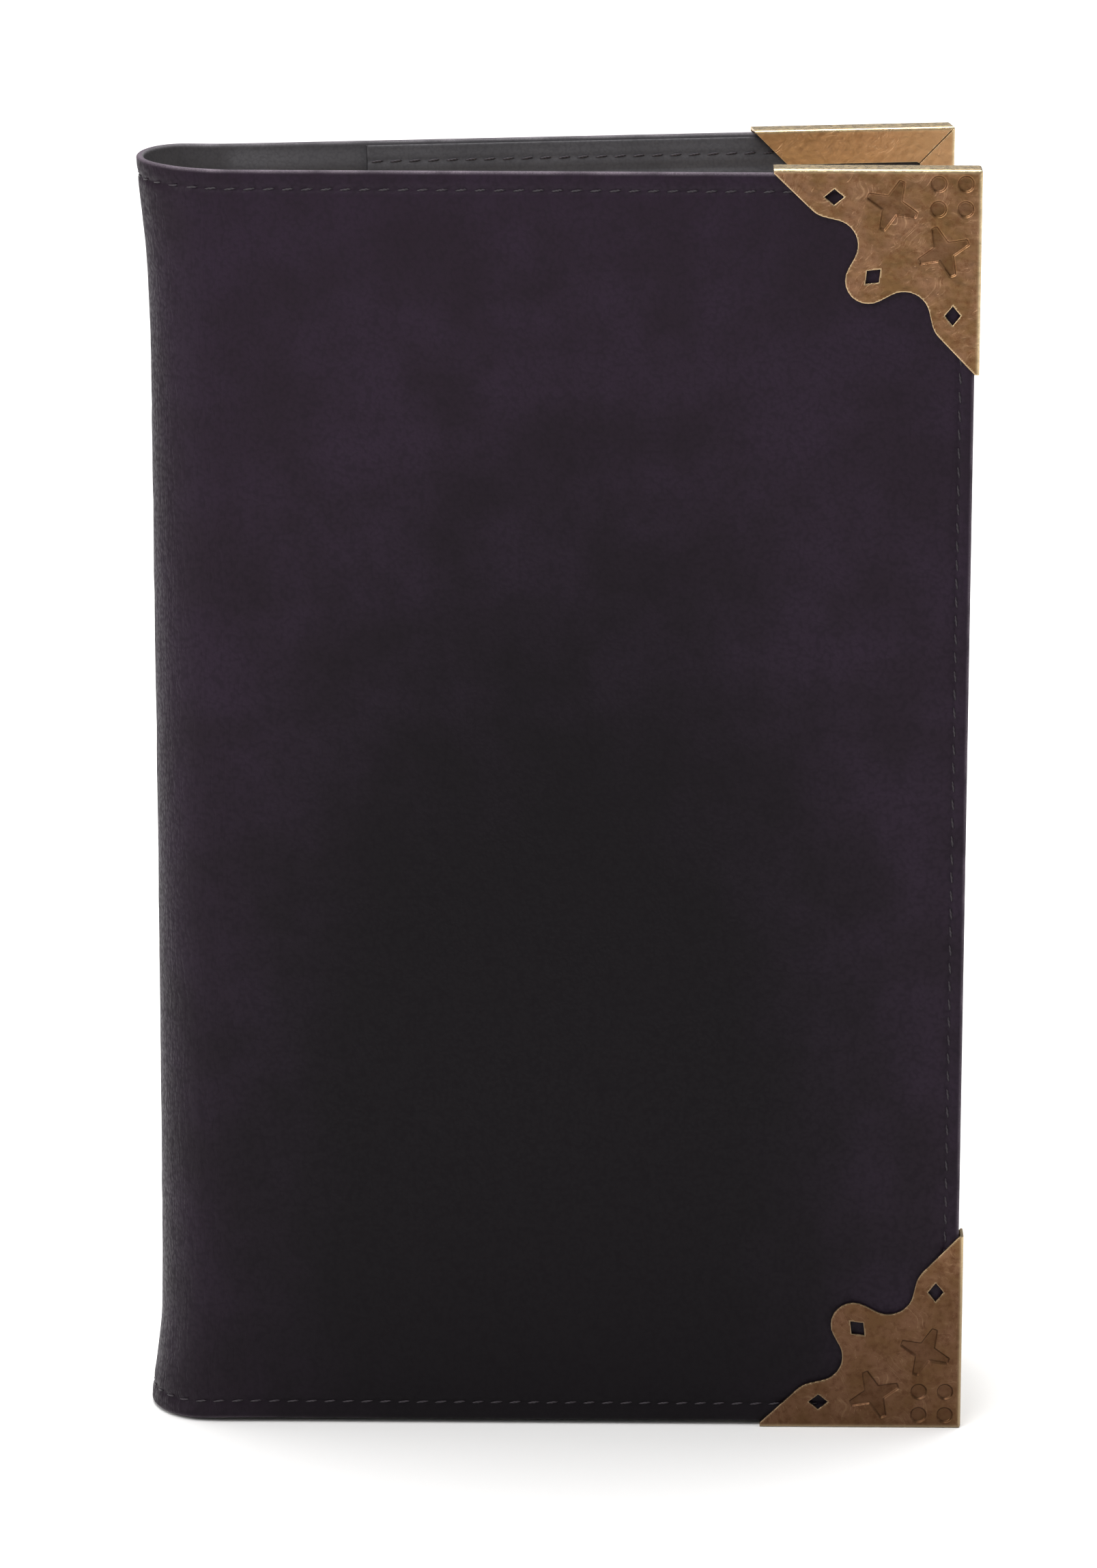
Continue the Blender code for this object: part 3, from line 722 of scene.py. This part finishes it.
def makeJacketHalf(label):
    side = sides[label]
    put = jacketPlace(side)

    def face(s, z):
        return edgeRound(edgeDistance(s, z), jacket["edgeRound"])

    def back(s, z):
        distance, wall = edgeDistance(s, z), wallAt(s, z)
        return np.where(
            distance < jacket["hemmed"], wall - edgeRound(distance, jacket["edgeRound"]), jacket["skin"]
        )

    skin = dict(us=jacketColumns, vs=jacketRows, face=face, back=back, put=put, side=side)
    folds = []
    turnColumns = places(0, jacketEnd - jacket["hemmed"], 1.6, near=(0, 0.04, 0.6))
    inner, outer = jacket["turnIn"], jacket["hemmed"] - 0.4
    for start, end in (
        (jacket["foot"] + outer, jacket["foot"] + inner), (jacket["head"] - inner, jacket["head"] - outer)
    ):
        rows = places(start, end, 1.1, near=(0, 0.1, 0.25, 0.5), far=(0, 0.1, 0.25, 0.5))

        def foldFace(s, z):
            return wallAt(s, z) + 0.02 - edgeRound(inner - edgeDistance(np.zeros_like(s), z), 0.2)

        def foldBack(s, z):
            return wallAt(s, z) - jacket["turnInWall"]

        folds.append(dict(us=turnColumns, vs=rows, face=foldFace, back=foldBack, put=put, side=side))
    made = sheetPiece(f"{label}_jacket_leather", coverLeather, skin, *folds)
    # the pale edge band for the leather's colour: rubbing wear and a painted highlight at head, tail and fore-edge
    edgeWearAndHighlightLayer = made.data.attributes.new("edge", "FLOAT", "POINT")
    flat = np.zeros(len(made.data.vertices) * 3, np.float32)
    made.data.attributes["cut"].data.foreach_get("vector", flat)
    s, depth, z = abs(flat[0::3]), flat[1::3], flat[2::3]
    near = edgeDistance(s, z)
    share = (1 - smooth(0.1, 0.6, near)) * (0.66 + 0.34 * softNoise(s / 3 + 4, z / 3, seed=41))
    edgeWearAndHighlightLayer.data.foreach_set("value", np.clip(share, 0, 1).astype(np.float32))
    # the turned-in side takes the lining's finish
    made.data.materials.append(liningLeather)
    inside = (depth > 0.72 * wallAt(s, z)) | (depth > 1.25)
    for polygon in made.data.polygons:
        polygon.material_index = int(all(inside[vertex] for vertex in polygon.vertices))
    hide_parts(f"{label}_leather", "spine_leather")
    bendAtHinge(made)


def bendAtHinge(piece):
    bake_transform(piece)


for label in sides:
    makeJacketHalf(label)
print("jacket ready")

# linings: a pared leather sheet inside each half, cut just inside the turned-in edges
lining = {"wall": 0.5, "gap": 0.3}


def makeLining(label):
    put = jacketPlace(sides[label])
    inset = jacket["turnIn"] + lining["gap"]
    low, high = jacket["foot"] + inset, jacket["head"] - inset
    end = jacketEnd - inset

    def near(s, z):
        return np.minimum.reduce([end - s, z - low, high - z])

    def face(s, z):
        return wallAt(s, z) - edgeRound(near(s, z), 0.2)

    def back(s, z):
        return wallAt(s, z) - lining["wall"]

    fineEnd = (0, 0.05, 0.12, 0.25)
    columns = np.concatenate([places(0, 24, 0.9, near=(0, 0.04, 0.5))[:-1], places(24, end, 4.0, far=fineEnd)])
    rows = places(low, high, 3.0, near=fineEnd, far=fineEnd)
    made = sheetPiece(
        f"{label}_lining_sheet", liningLeather,
        dict(us=columns, vs=rows, face=face, back=back, put=put, side=sides[label]),
    )
    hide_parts(f"{label}_lining", "spine_lining")
    bendAtHinge(made)


for label in sides:
    makeLining(label)
print("linings ready")

# sleeves: the pocket on the inside of each cover that holds the book's own card cover
sleeve = {
    "start": 24.6,  # hinge to the open edge
    "inset": 0.6,
    "wall": 0.6,
    "rimFace": 3.5,
    "cardFace": 4.3,
    "rimWidth": 4.85,
    "rimSlope": 1.1,
    "hem": 0.4,
    "hemWidth": 4.2,
    "hemSeam": 2.6,
}


def pressed(s, z):
    # how far the sewn edge of the sleeve is drawn down with the leather under it
    return (jacket["coverWall"] - jacket["edgeWall"]) * hemShare(s, z)


def sleeveFace(along, z):
    # depth of the sleeve's reading side below the cover's face
    sewn = np.minimum.reduce([
        jacket["coverWidth"] - sleeve["inset"] - along,
        z - jacket["foot"] - sleeve["inset"],
        jacket["head"] - sleeve["inset"] - z,
    ])
    over = smooth(sleeve["rimWidth"], sleeve["rimWidth"] + sleeve["rimSlope"], sewn)
    hemmed = 1 - smooth(sleeve["hemWidth"] - 0.1, sleeve["hemWidth"] + 0.35, along - sleeve["start"])
    depth = sleeve["rimFace"] + (sleeve["cardFace"] - sleeve["rimFace"]) * over + sleeve["hem"] * hemmed * over
    return depth, sewn, over


def flatPut(s, z, depth):
    # a spot on the plain shape, without the hide's own unevenness
    return *onPath(jacketPath, s, depth), z


def makeSleeve(label):
    side = sides[label]

    def surface(s, z):
        along = s - hingeRun
        depth, sewn, over = sleeveFace(along, z)
        distance, phase = seamNear(s, z)
        hole = 0.5 + 0.5 * np.cos(2 * math.pi * phase)
        pulled = (0.16 + 0.08 * hole) * groove(distance, 0.5)
        hemLine = abs(along - sleeve["start"] - sleeve["hemSeam"])
        hemHole = 0.5 + 0.5 * np.cos(2 * math.pi * z / jacket["stitch"])
        pulled = pulled + (0.14 + 0.06 * hemHole) * groove(hemLine, 0.5) * over
        soft = 0.12 * softNoise(
            side * s / 24 + 9, z / 27, seed=51
        ) * smooth(6, 22, sewn) * smooth(0, 10, along - sleeve["start"])
        soft = soft + 0.02 * softNoise(side * s / 3.3, z / 3.1, seed=53)
        return depth, sewn, pulled - np.minimum(soft, 0), along

    def face(s, z):
        depth, sewn, dip, along = surface(s, z)
        free = along - sleeve["start"]
        return depth - dip - pressed(s, z) - edgeRound(sewn, 0.3) - edgeRound(free, 0.42)

    def back(s, z):
        depth, sewn, dip, along = surface(s, z)
        over = smooth(sleeve["rimWidth"], sleeve["rimWidth"] + sleeve["rimSlope"], sewn)
        flat = sleeve["rimFace"] - sleeve["wall"] + 0.8 * over
        return flat - pressed(s, z) + edgeRound(sewn, 0.3) * 0.6 + edgeRound(along - sleeve["start"], 0.42)

    start, end = hingeRun + sleeve["start"], jacketEnd - sleeve["inset"]
    rim = (0, 0.06, 0.16, 0.32, 0.6, 1.1, 1.6, 2.0, 2.3, 2.6, 2.9, 3.3, 4.0, 4.8, 5.1, 5.4, 5.7, 6.0, 6.6)
    fore = (
        0, 0.06, 0.16, 0.32, 0.6, 1.0, 1.3, 1.55, 1.8, 2.05, 2.3, 2.7, 3.3, 4.0, 4.8, 5.1, 5.4, 5.7, 6.0, 6.6
    )
    free = (0, 0.07, 0.18, 0.34, 0.6, 1.1, 1.7, 2.1, 2.4, 2.6, 2.8, 3.1, 3.5, 3.9, 4.15, 4.4, 4.7, 5.3)
    columns = places(start, end, 1.35, near=free, far=fore)
    low, high = jacket["foot"] + sleeve["inset"], jacket["head"] - sleeve["inset"]
    rows = places(low, high, 1.3, near=rim, far=rim)
    made = sheetPiece(
        f"{label}_sleeve_leather", liningLeather,
        dict(us=columns, vs=rows, face=face, back=back, put=flatPut, side=side),
    )
    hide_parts(f"{label}_sleeve")
    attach(made, f"{label}_cover")


for label in sides:
    makeSleeve(label)
print("sleeves ready")

# stitches: saddle stitches of waxed thread, each a small seed sunk in the leather
stitching = {"length": 2.15, "width": 0.42, "height": 0.36, "tilt": 8.0}
barTack = {"in": 5.4, "stitches": 5, "pitch": 0.62, "sunk": 0.32}
seedWork = bmesh.new()
bmesh.ops.create_uvsphere(seedWork, u_segments=8, v_segments=6, radius=1.0)
seed = bpy.data.meshes.new("stitchSeed")
seedWork.to_mesh(seed)
seedWork.free()


def addStitch(work, spot, ahead, out, tilt=stitching["tilt"]):
    across = out.cross(ahead).normalized()
    ahead = across.cross(out).normalized()
    turn = Matrix.Rotation(math.radians(tilt), 3, out)
    ahead, across = turn @ ahead, turn @ across
    sizes = zip((ahead, across, out), ("length", "width", "height"))
    axes = Matrix([(way * stitching[size] / 2)[:] for way, size in sizes]).transposed()
    place = Matrix.Translation(spot) @ axes.to_4x4()
    seed.transform(place)
    work.from_mesh(seed)
    seed.transform(place.inverted())


def pointOn(put, side, s, z, depth):
    x, y, z = put(np.array([s], float), np.array([z], float), np.array([depth], float))
    return Vector((float(x[0]), side * float(y[0]), float(z[0])))


def seamSpots(start):
    # stitch centres round head, fore-edge and tail, with the way each one runs
    pitch = jacket["stitch"]
    fore, high, low = jacketEnd - jacket[
        "seamFore"
    ], jacket["head"] - jacket["seamIn"], jacket["foot"] + jacket["seamIn"]
    spots = []
    count = int((fore - start) / pitch)
    for number in range(count):
        s = (math.ceil(start / pitch - 0.5) + 0.5 + number) * pitch
        if s < fore - 0.8:
            spots += [(s, high, "s"), (s, low, "s")]
    for number in range(int((high - low) / pitch)):
        spots.append((fore, low + (number + 0.5) * pitch, "z"))
    return spots


def addSeam(work, put, side, spots, depthAt, inward=False):
    for s, z, way in spots:
        depth = depthAt(s, z)
        spot = pointOn(put, side, s, z, depth)
        step = (0.6, 0) if way == "s" else (0, 0.6)
        ahead = pointOn(
            put, side, s + step[0], z + step[1], depth
        ) - pointOn(put, side, s - step[0], z - step[1], depth)
        out = spot - pointOn(put, side, s, z, depth + 0.5)
        out = -out.normalized() if inward else out.normalized()
        addStitch(work, spot, ahead, out)


def makeOuterSeam(label):
    side = sides[label]
    work = bmesh.new()
    addSeam(work, jacketPlace(side), side, seamSpots(0), lambda s, z: 0.0)
    made = makePiece(work, f"{label}_outer_stitches", thread, 60)
    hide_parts(f"{label}_outer_seam", "spine_head_seam", "spine_tail_seam")
    bendAtHinge(made)


def makeSleeveSeams(label):
    side = sides[label]
    start = hingeRun + sleeve["start"]
    work = bmesh.new()
    addSeam(
        work, flatPut, side, seamSpots(start + 1), lambda s, z: sleeve["rimFace"] - 0.08 - float(pressed(s, z)),
        True,
    )
    # a short bar of close stitches locks each end of the open edge
    for level, way in ((jacket["foot"] + barTack["in"], 1), (jacket["head"] - barTack["in"], -1)):
        for number in range(barTack["stitches"]):
            s = start + 0.9 + number * barTack["pitch"]
            spot = pointOn(flatPut, side, s, level + way * 0.9, sleeve["cardFace"] + barTack["sunk"])
            out = (pointOn(flatPut, side, s, level, 5) - pointOn(flatPut, side, s, level, 4)).normalized()
            addStitch(work, spot, Vector((0, 0, 1)), out, tilt=0)
    made = makePiece(work, f"{label}_sleeve_stitches", thread, 60)
    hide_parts(f"{label}_sleeve_seam")
    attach(made, f"{label}_cover")

    work = bmesh.new()
    pitch = jacket["stitch"]
    line = start + sleeve["hemSeam"]
    levels = [(number + 0.5) * pitch for number in range(3, int((jacket["head"] - 8) / pitch))]
    hemDepth = sleeve["cardFace"] + sleeve["hem"] - 0.1
    addSeam(work, flatPut, side, [(line, level, "z") for level in levels], lambda s, z: hemDepth, True)
    made = makePiece(work, f"{label}_hem_stitches", thread, 60)
    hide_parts(f"{label}_sleeve_hem_seam")
    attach(made, f"{label}_cover")


for label in sides:
    makeOuterSeam(label)
    makeSleeveSeams(label)
print("stitches ready")

# the book's own card cover: one folded card, its boards held in the sleeves
card = {"wall": 0.5, "turnAt": 7.0, "depth": 2.9, "fore": 120.0, "bendFrom": 8.0, "bendTo": 16.0}
cardLow, cardHigh = (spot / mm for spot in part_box("card_spine"))
card.update(back=cardLow.x - spineBack, foot=cardLow.z, head=cardHigh.z)


def makeCardHalf(label):
    side = sides[label]
    joinsAt, ends = coverPoint(5.0, card["depth"]), coverPoint(card["fore"], card["depth"])
    corner = bend(
        (card["back"], card["turnAt"]), (card["back"], 9.7), np.array(joinsAt) - coverWay * 5.0, joinsAt
    )
    run = [*np.linspace((card["back"], 0), corner[0], 12)[:-1], *corner, *np.linspace(joinsAt, ends, 12)[1:]]
    path = planPath(run)
    length = path["s"][-1]

    def put(s, z, depth):
        x, y = onPath(path, s, depth)
        return x, y, z

    fineEnd = (0, 0.06, 0.16, 0.4)
    columns = np.concatenate([places(0, 24, 0.8, near=(0, 0.04))[:-1], places(24, length, 4.0, far=fineEnd)])
    rows = places(card["foot"], card["head"], 5.0, near=fineEnd, far=fineEnd)

    def near(s, z):
        return np.minimum.reduce([length - s, z - card["foot"], card["head"] - z])

    made = sheetPiece(f"{label}_card", coverCard, dict(
        us=columns,
        vs=rows,
        face=lambda s, z: edgeRound(near(s, z), 0.12),
        back=lambda s, z: card["wall"] - edgeRound(near(s, z), 0.12),
        put=put,
        side=side,
    ))
    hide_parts(f"{label}_card_cover", "card_spine")
    bendAtHinge(made)


for label in sides:
    makeCardHalf(label)
print("card cover ready")

# the leaves: each section is a few thin leaves that bend just past the bound gutter
leaves = {"sections": 8, "perSection": 5, "wall": 0.12, "spread": 0.33, "rootShare": 0.3, "taper": 4.0}
draw = np.random.default_rng(17)


def makeSection(label, number):
    side = sides[label]
    joint = joints[f"{label}_fold_{number}"]
    foldX, foldY = joint["pos_m"][0] / mm - spineBack, abs(joint["pos_m"][1]) / mm
    angle = restAngle * (2 * number - 1) / (2 * leaves["sections"] + 1)
    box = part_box(f"{label}_section_{number}")
    reach = (box[1].x / mm - spineBack - foldX) / math.cos(angle) - 0.15
    sheets = []
    for leaf in range(leaves["perSection"]):
        offset = (leaf / (leaves["perSection"] - 1) * 2 - 1) * leaves["spread"]
        short, low, high, phase = draw.uniform(
            0, 0.35
        ), draw.uniform(0, 0.25), draw.uniform(0, 0.25), draw.uniform(0, 6)

        def put(s, z, depth, offset=offset, phase=phase):
            taper = leaves["rootShare"] + (1 - leaves["rootShare"]) * smooth(0, leaves["taper"] * 1.4, s)
            wave = 0.02 * np.sin(s / 17 + phase) * np.sin(z / 31 + phase * 2) * smooth(5, 30, s)
            away = offset * taper + wave - depth
            c, sn = math.cos(angle), math.sin(angle)
            return foldX + s * c - away * sn, foldY + s * sn + away * c, z

        columns = np.concatenate([places(-0.2, 8, 0.8)[:-1], places(8, reach - short, 9.0)])
        rows = places(box[0].z / mm + low, box[1].z / mm - high, 17.0)
        half = leaves["wall"] / 2

        def thin(s):
            return half * (0.55 + 0.45 * smooth(0, leaves["taper"], s))

        sheets.append(
            dict(
                us=columns, vs=rows, face=lambda s, z: -thin(s) + 0 * z, back=lambda s, z: thin(s) + 0 * z,
                put=put, side=side,
            )
        )
    made = sheetPiece(f"{label}_leaves_{number}", bookPaper, *sheets)
    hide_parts(f"{label}_section_{number}")
    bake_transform(made)


for label in sides:
    for number in range(1, leaves["sections"] + 1):
        makeSection(label, number)
print("leaves ready")

# headbands: a cord core wound with silk, sewn at head and tail of the block
band = {"radius": 1.0, "turn": 0.42, "ridge": 0.09}


def makeBand(label):
    low, high = (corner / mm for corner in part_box(f"{label}_band"))
    middle = ((low.x + high.x) / 2 - spineBack, (low.z + high.z) / 2)
    start, end = low.y + 0.25, high.y - 0.25
    around, along = 28, int((end - start) / band["turn"]) * 6
    work = bmesh.new()
    cut = work.verts.layers.float_vector.new("cut")
    verts = bmesh.ops.create_grid(work, x_segments=around, y_segments=along, size=0.5)["verts"]
    for vert in verts:
        turn, share = (vert.co.x + 0.5) * 2 * math.pi, vert.co.y + 0.5
        y = start + (end - start) * share
        ridge = abs(math.sin(math.pi * (y - start) / band["turn"] + turn * 0.5))
        closing = math.sqrt(max(0.0, 1 - (2 * share - 1) ** 16))
        radius = (band["radius"] - band["ridge"] * (1 - ridge)) * (0.25 + 0.75 * closing)
        vert[cut] = (turn, 0, y + turn * 0.067)
        vert.co = (middle[0] + radius * math.cos(turn), y, middle[1] + radius * math.sin(turn))
    bmesh.ops.remove_doubles(work, verts=work.verts, dist=0.002)
    bmesh.ops.holes_fill(work, edges=[edge for edge in work.edges if edge.is_boundary], sides=0)
    bmesh.ops.recalc_face_normals(work, faces=work.faces)
    made = makePiece(work, f"{label}_silk_band", silk, 50)
    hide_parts(f"{label}_band")
    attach(made, "book_spine")


for label in ("head", "tail"):
    makeBand(label)
print("headbands ready")

# brass corners: pressed plates folded over each corner, stamped with two stars and four round dimples
corner = {
    "step": 0.28,
    "proud": 0.8,
    "edge": 0.13,
    "starArm": 6.6,
    "starWaist": 1.3,
    "starReach": 4.5,
    "stars": ((15.2, 6.1, 22.0), (6.4, 14.0, -22.0)),  # u, v and turn from the corner's point
    "dimples": ((2.8, 2.4), (7.4, 2.4), (2.8, 6.7), (7.4, 6.7)),
    "dimple": 1.4,
    "press": 0.42,
    "back": 0.14,
    "slit": 0.22,
    "height": 223.6,
}


def starDistance(u, v, centreU, centreV, turn):
    # negative inside a four-pointed star with blunt tips
    c, s = math.cos(math.radians(turn)), math.sin(math.radians(turn))
    a, b = abs((u - centreU) * c - (v - centreV) * s), abs((u - centreU) * s + (v - centreV) * c)
    q, arm = corner["starWaist"], corner["starArm"]
    sides = ((np.maximum(a, b) - arm) * q + np.minimum(a, b) * (arm - q)) / math.hypot(q, arm - q)
    return np.maximum(sides, np.hypot(a, b) - corner["starReach"])


def stampAt(u, v):
    deep = 0 * u
    for star in corner["stars"]:
        deep = np.maximum(deep, 1 - smooth(-0.16, 0.08, starDistance(u, v, *star)))
    for centre in corner["dimples"]:
        away = np.hypot(u - centre[0], v - centre[1])
        deep = np.maximum(deep, 1 - smooth(corner["dimple"] - 0.2, corner["dimple"] + 0.06, away))
    return deep


def nearOutline(spot):
    away = [starDistance(spot.x, spot.y, *star) for star in corner["stars"]]
    away += [math.hypot(spot.x - u, spot.y - v) - corner["dimple"] for u, v in corner["dimples"]]
    return min(abs(value + 0.05) for value in away) < 0.4


def cornerFrame(label, end):
    # from a corner's own u, v and depth to millimetres on the book
    side = sides[label]
    c, s = math.cos(restAngle), math.sin(restAngle)
    reach = jacket["coverWidth"] + corner["proud"]
    up = -1 if end == "head" else 1
    level = corner["height"] if end == "head" else 0
    out = jacket["hingeDepth"]
    return Matrix((
        (-c, 0, s, hinge[0] + reach * c - out * s),
        (-s * side, 0, -c * side, side * (hinge[1] + reach * s + out * c)),
        (0, up, 0, level),
        (0, 0, 0, 1),
    ))


def cornerPattern():
    work = bmesh.new()
    work.from_mesh(cadObjects["back_tail_corner"].data)
    bmesh.ops.remove_doubles(work, verts=work.verts, dist=1e-6)
    bmesh.ops.transform(
        work, matrix=cornerFrame("back", "tail").inverted() @ toFrame.inverted(), verts=work.verts
    )
    bmesh.ops.dissolve_limit(work, angle_limit=math.radians(0.6), verts=work.verts, edges=work.edges)
    rims = [
        edge
        for edge in work.edges
        if len(edge.link_faces) == 2
        and all(vert.co.z < -corner["proud"] + 0.02 for vert in edge.verts)
        and edge.calc_face_angle() > 1.2
    ]
    bmesh.ops.bevel(
        work, geom=rims, offset=corner["edge"], segments=2, profile=0.5, affect="EDGES", material=-1
    )
    for axis in (0, 1):
        for number in range(1, 128):
            away = number * corner["step"]
            normal = Vector((axis == 0, axis == 1, 0))
            bmesh.ops.bisect_plane(
                work, geom=[*work.verts, *work.edges, *work.faces], plane_co=normal * away, plane_no=normal,
                dist=1e-5,
            )
    # finer again beside the stamped outlines
    outlines = [
        item
        for item in work.edges
        if item.calc_length() < 0.6
        and all(vert.co.z < -0.7 for vert in item.verts)
        and nearOutline((item.verts[0].co + item.verts[1].co) / 2)
    ]
    bmesh.ops.subdivide_edges(work, edges=outlines, cuts=1, use_grid_fill=True)
    press = work.verts.layers.float.new("press")
    edge = work.verts.layers.float.new("edge")
    cut = work.verts.layers.float_vector.new("cut")
    cutEdge = {
        vert for item in work.edges if len(item.link_faces) == 2 and item.calc_face_angle() > 0.3
        for vert in item.verts
    }
    u, v, depth = np.array([vert.co[:] for vert in work.verts]).T
    deep = stampAt(u, v) * (depth < 0)
    beaten = softNoise(u / 1.9, v / 1.7, seed=61) * 0.035 + softNoise(u / 0.8, v / 0.9, seed=63) * 0.012
    beaten = (beaten + 0.03) * smooth(0.5, 1.2, np.minimum(u, v))
    outside = depth < -0.55
    sunk = np.where(outside, corner["press"] * deep + beaten, corner["back"] * deep)
    # bright rubbed metal along the folds and cut edges, with a painted highlight along the fold crests, duller on
    # the strips between them
    folded = (1 - smooth(0.2, 0.7, np.minimum(u, v))) * (
        1 - 0.55 * smooth(0.5, 1.1, np.minimum(depth + 0.8, 4.3 - depth))
    )
    nearMitre = (depth > 3) & (abs(u - v) < 0.56) & (
        np.minimum(u, v) > 0.2
    )  # the two folded strips nearly meet there
    half = (u - v) / 2 * np.where(nearMitre, corner["slit"], 1)
    for number, vert in enumerate(work.verts):
        vert[cut] = (u[number], v[number], depth[number])
        vert[edge] = max(0.8 * folded[number], 0.5 if vert in cutEdge else 0.0)
        vert[press] = deep[number] * outside[number]
        middle = (u[number] + v[number]) / 2
        vert.co = (middle + half[number], middle - half[number], depth[number] + sunk[number])
    return work


pattern = cornerPattern()
for label in sides:
    for end in ("head", "tail"):
        work = pattern.copy()
        bmesh.ops.transform(work, matrix=cornerFrame(label, end), verts=work.verts)
        bmesh.ops.recalc_face_normals(work, faces=work.faces)
        made = makePiece(work, f"{label}_{end}_brass", brass, 32)
        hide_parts(f"{label}_{end}_corner")
        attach(made, f"{label}_cover")
pattern.free()
print("brass corners ready")

# the CAD pieces that stay as they are
keptFinishes = {
    "front_board": millboard, "back_board": millboard, "spine_gauze": muslin, "bound_gutter": bookPaper
}
for name, finish in keptFinishes.items():
    item = cadObjects[name]
    item.data.materials.clear()
    item.data.materials.append(finish)

# floor and light
studio = {"floor": 6.0, "paper": "#f4f3f2", "world": 0.32}


def makeStage():
    work = bmesh.new()
    bmesh.ops.create_circle(work, cap_ends=True, segments=64, radius=studio["floor"])
    mesh = bpy.data.meshes.new("floor")
    work.to_mesh(mesh)
    work.free()
    made, tree, shader = newMaterial("matWhiteStudioPaper", Roughness=0.9, Specular_IOR_Level=0.1)
    place = addNode(tree, "TexCoord", {}).outputs["Object"]
    tooth = addNode(tree, "TexNoise", {"Scale": 30.0, "Detail": 4.0}, Vector=place).outputs["Fac"]
    setSocket(
        tree, shader.inputs["Base Color"], addNode(tree, "Mix", blended, tooth, "#f3f2f1", studio["paper"])
    )
    mesh.materials.append(made)
    floor = bpy.data.objects.new("floor", mesh)
    scene.collection.objects.link(floor)


def softBox(name, spot, aimAt, size, power):
    data = bpy.data.lights.new(name, "AREA")
    data.shape = "RECTANGLE"
    data.size, data.size_y = size
    data.energy = power
    made = bpy.data.objects.new(name, data)
    spot, aimAt = Vector(spot), Vector(aimAt)
    made.matrix_world = Matrix.Translation(spot) @ (spot - aimAt).to_track_quat("Z", "Y").to_matrix().to_4x4()
    scene.collection.objects.link(made)


makeStage()
softBox("leftBox", (-1.1, -0.75, 0.8), (0, 0, 0.14), (0.5, 0.8), 8.5)
softBox("rightBox", (1.4, -0.35, 0.7), (0, 0, 0.12), (0.5, 0.9), 3)
softBox("frontBox", (-0.15, -0.32, 0.62), (0, 0, 0.15), (0.3, 0.3), 2.0)
softBox("topBox", (0.1, 0.9, 2.2), (0, 0.6, 0), (2.6, 2.2), 85)
world = bpy.data.worlds.new("paleStudio")
world.use_nodes = True
background = world.node_tree.nodes["Background"]
background.inputs["Color"].default_value = hexColour("#f3f3f4")
background.inputs["Strength"].default_value = studio["world"]
scene.world = world
scene.view_settings.view_transform = "Standard"
print("stage ready")
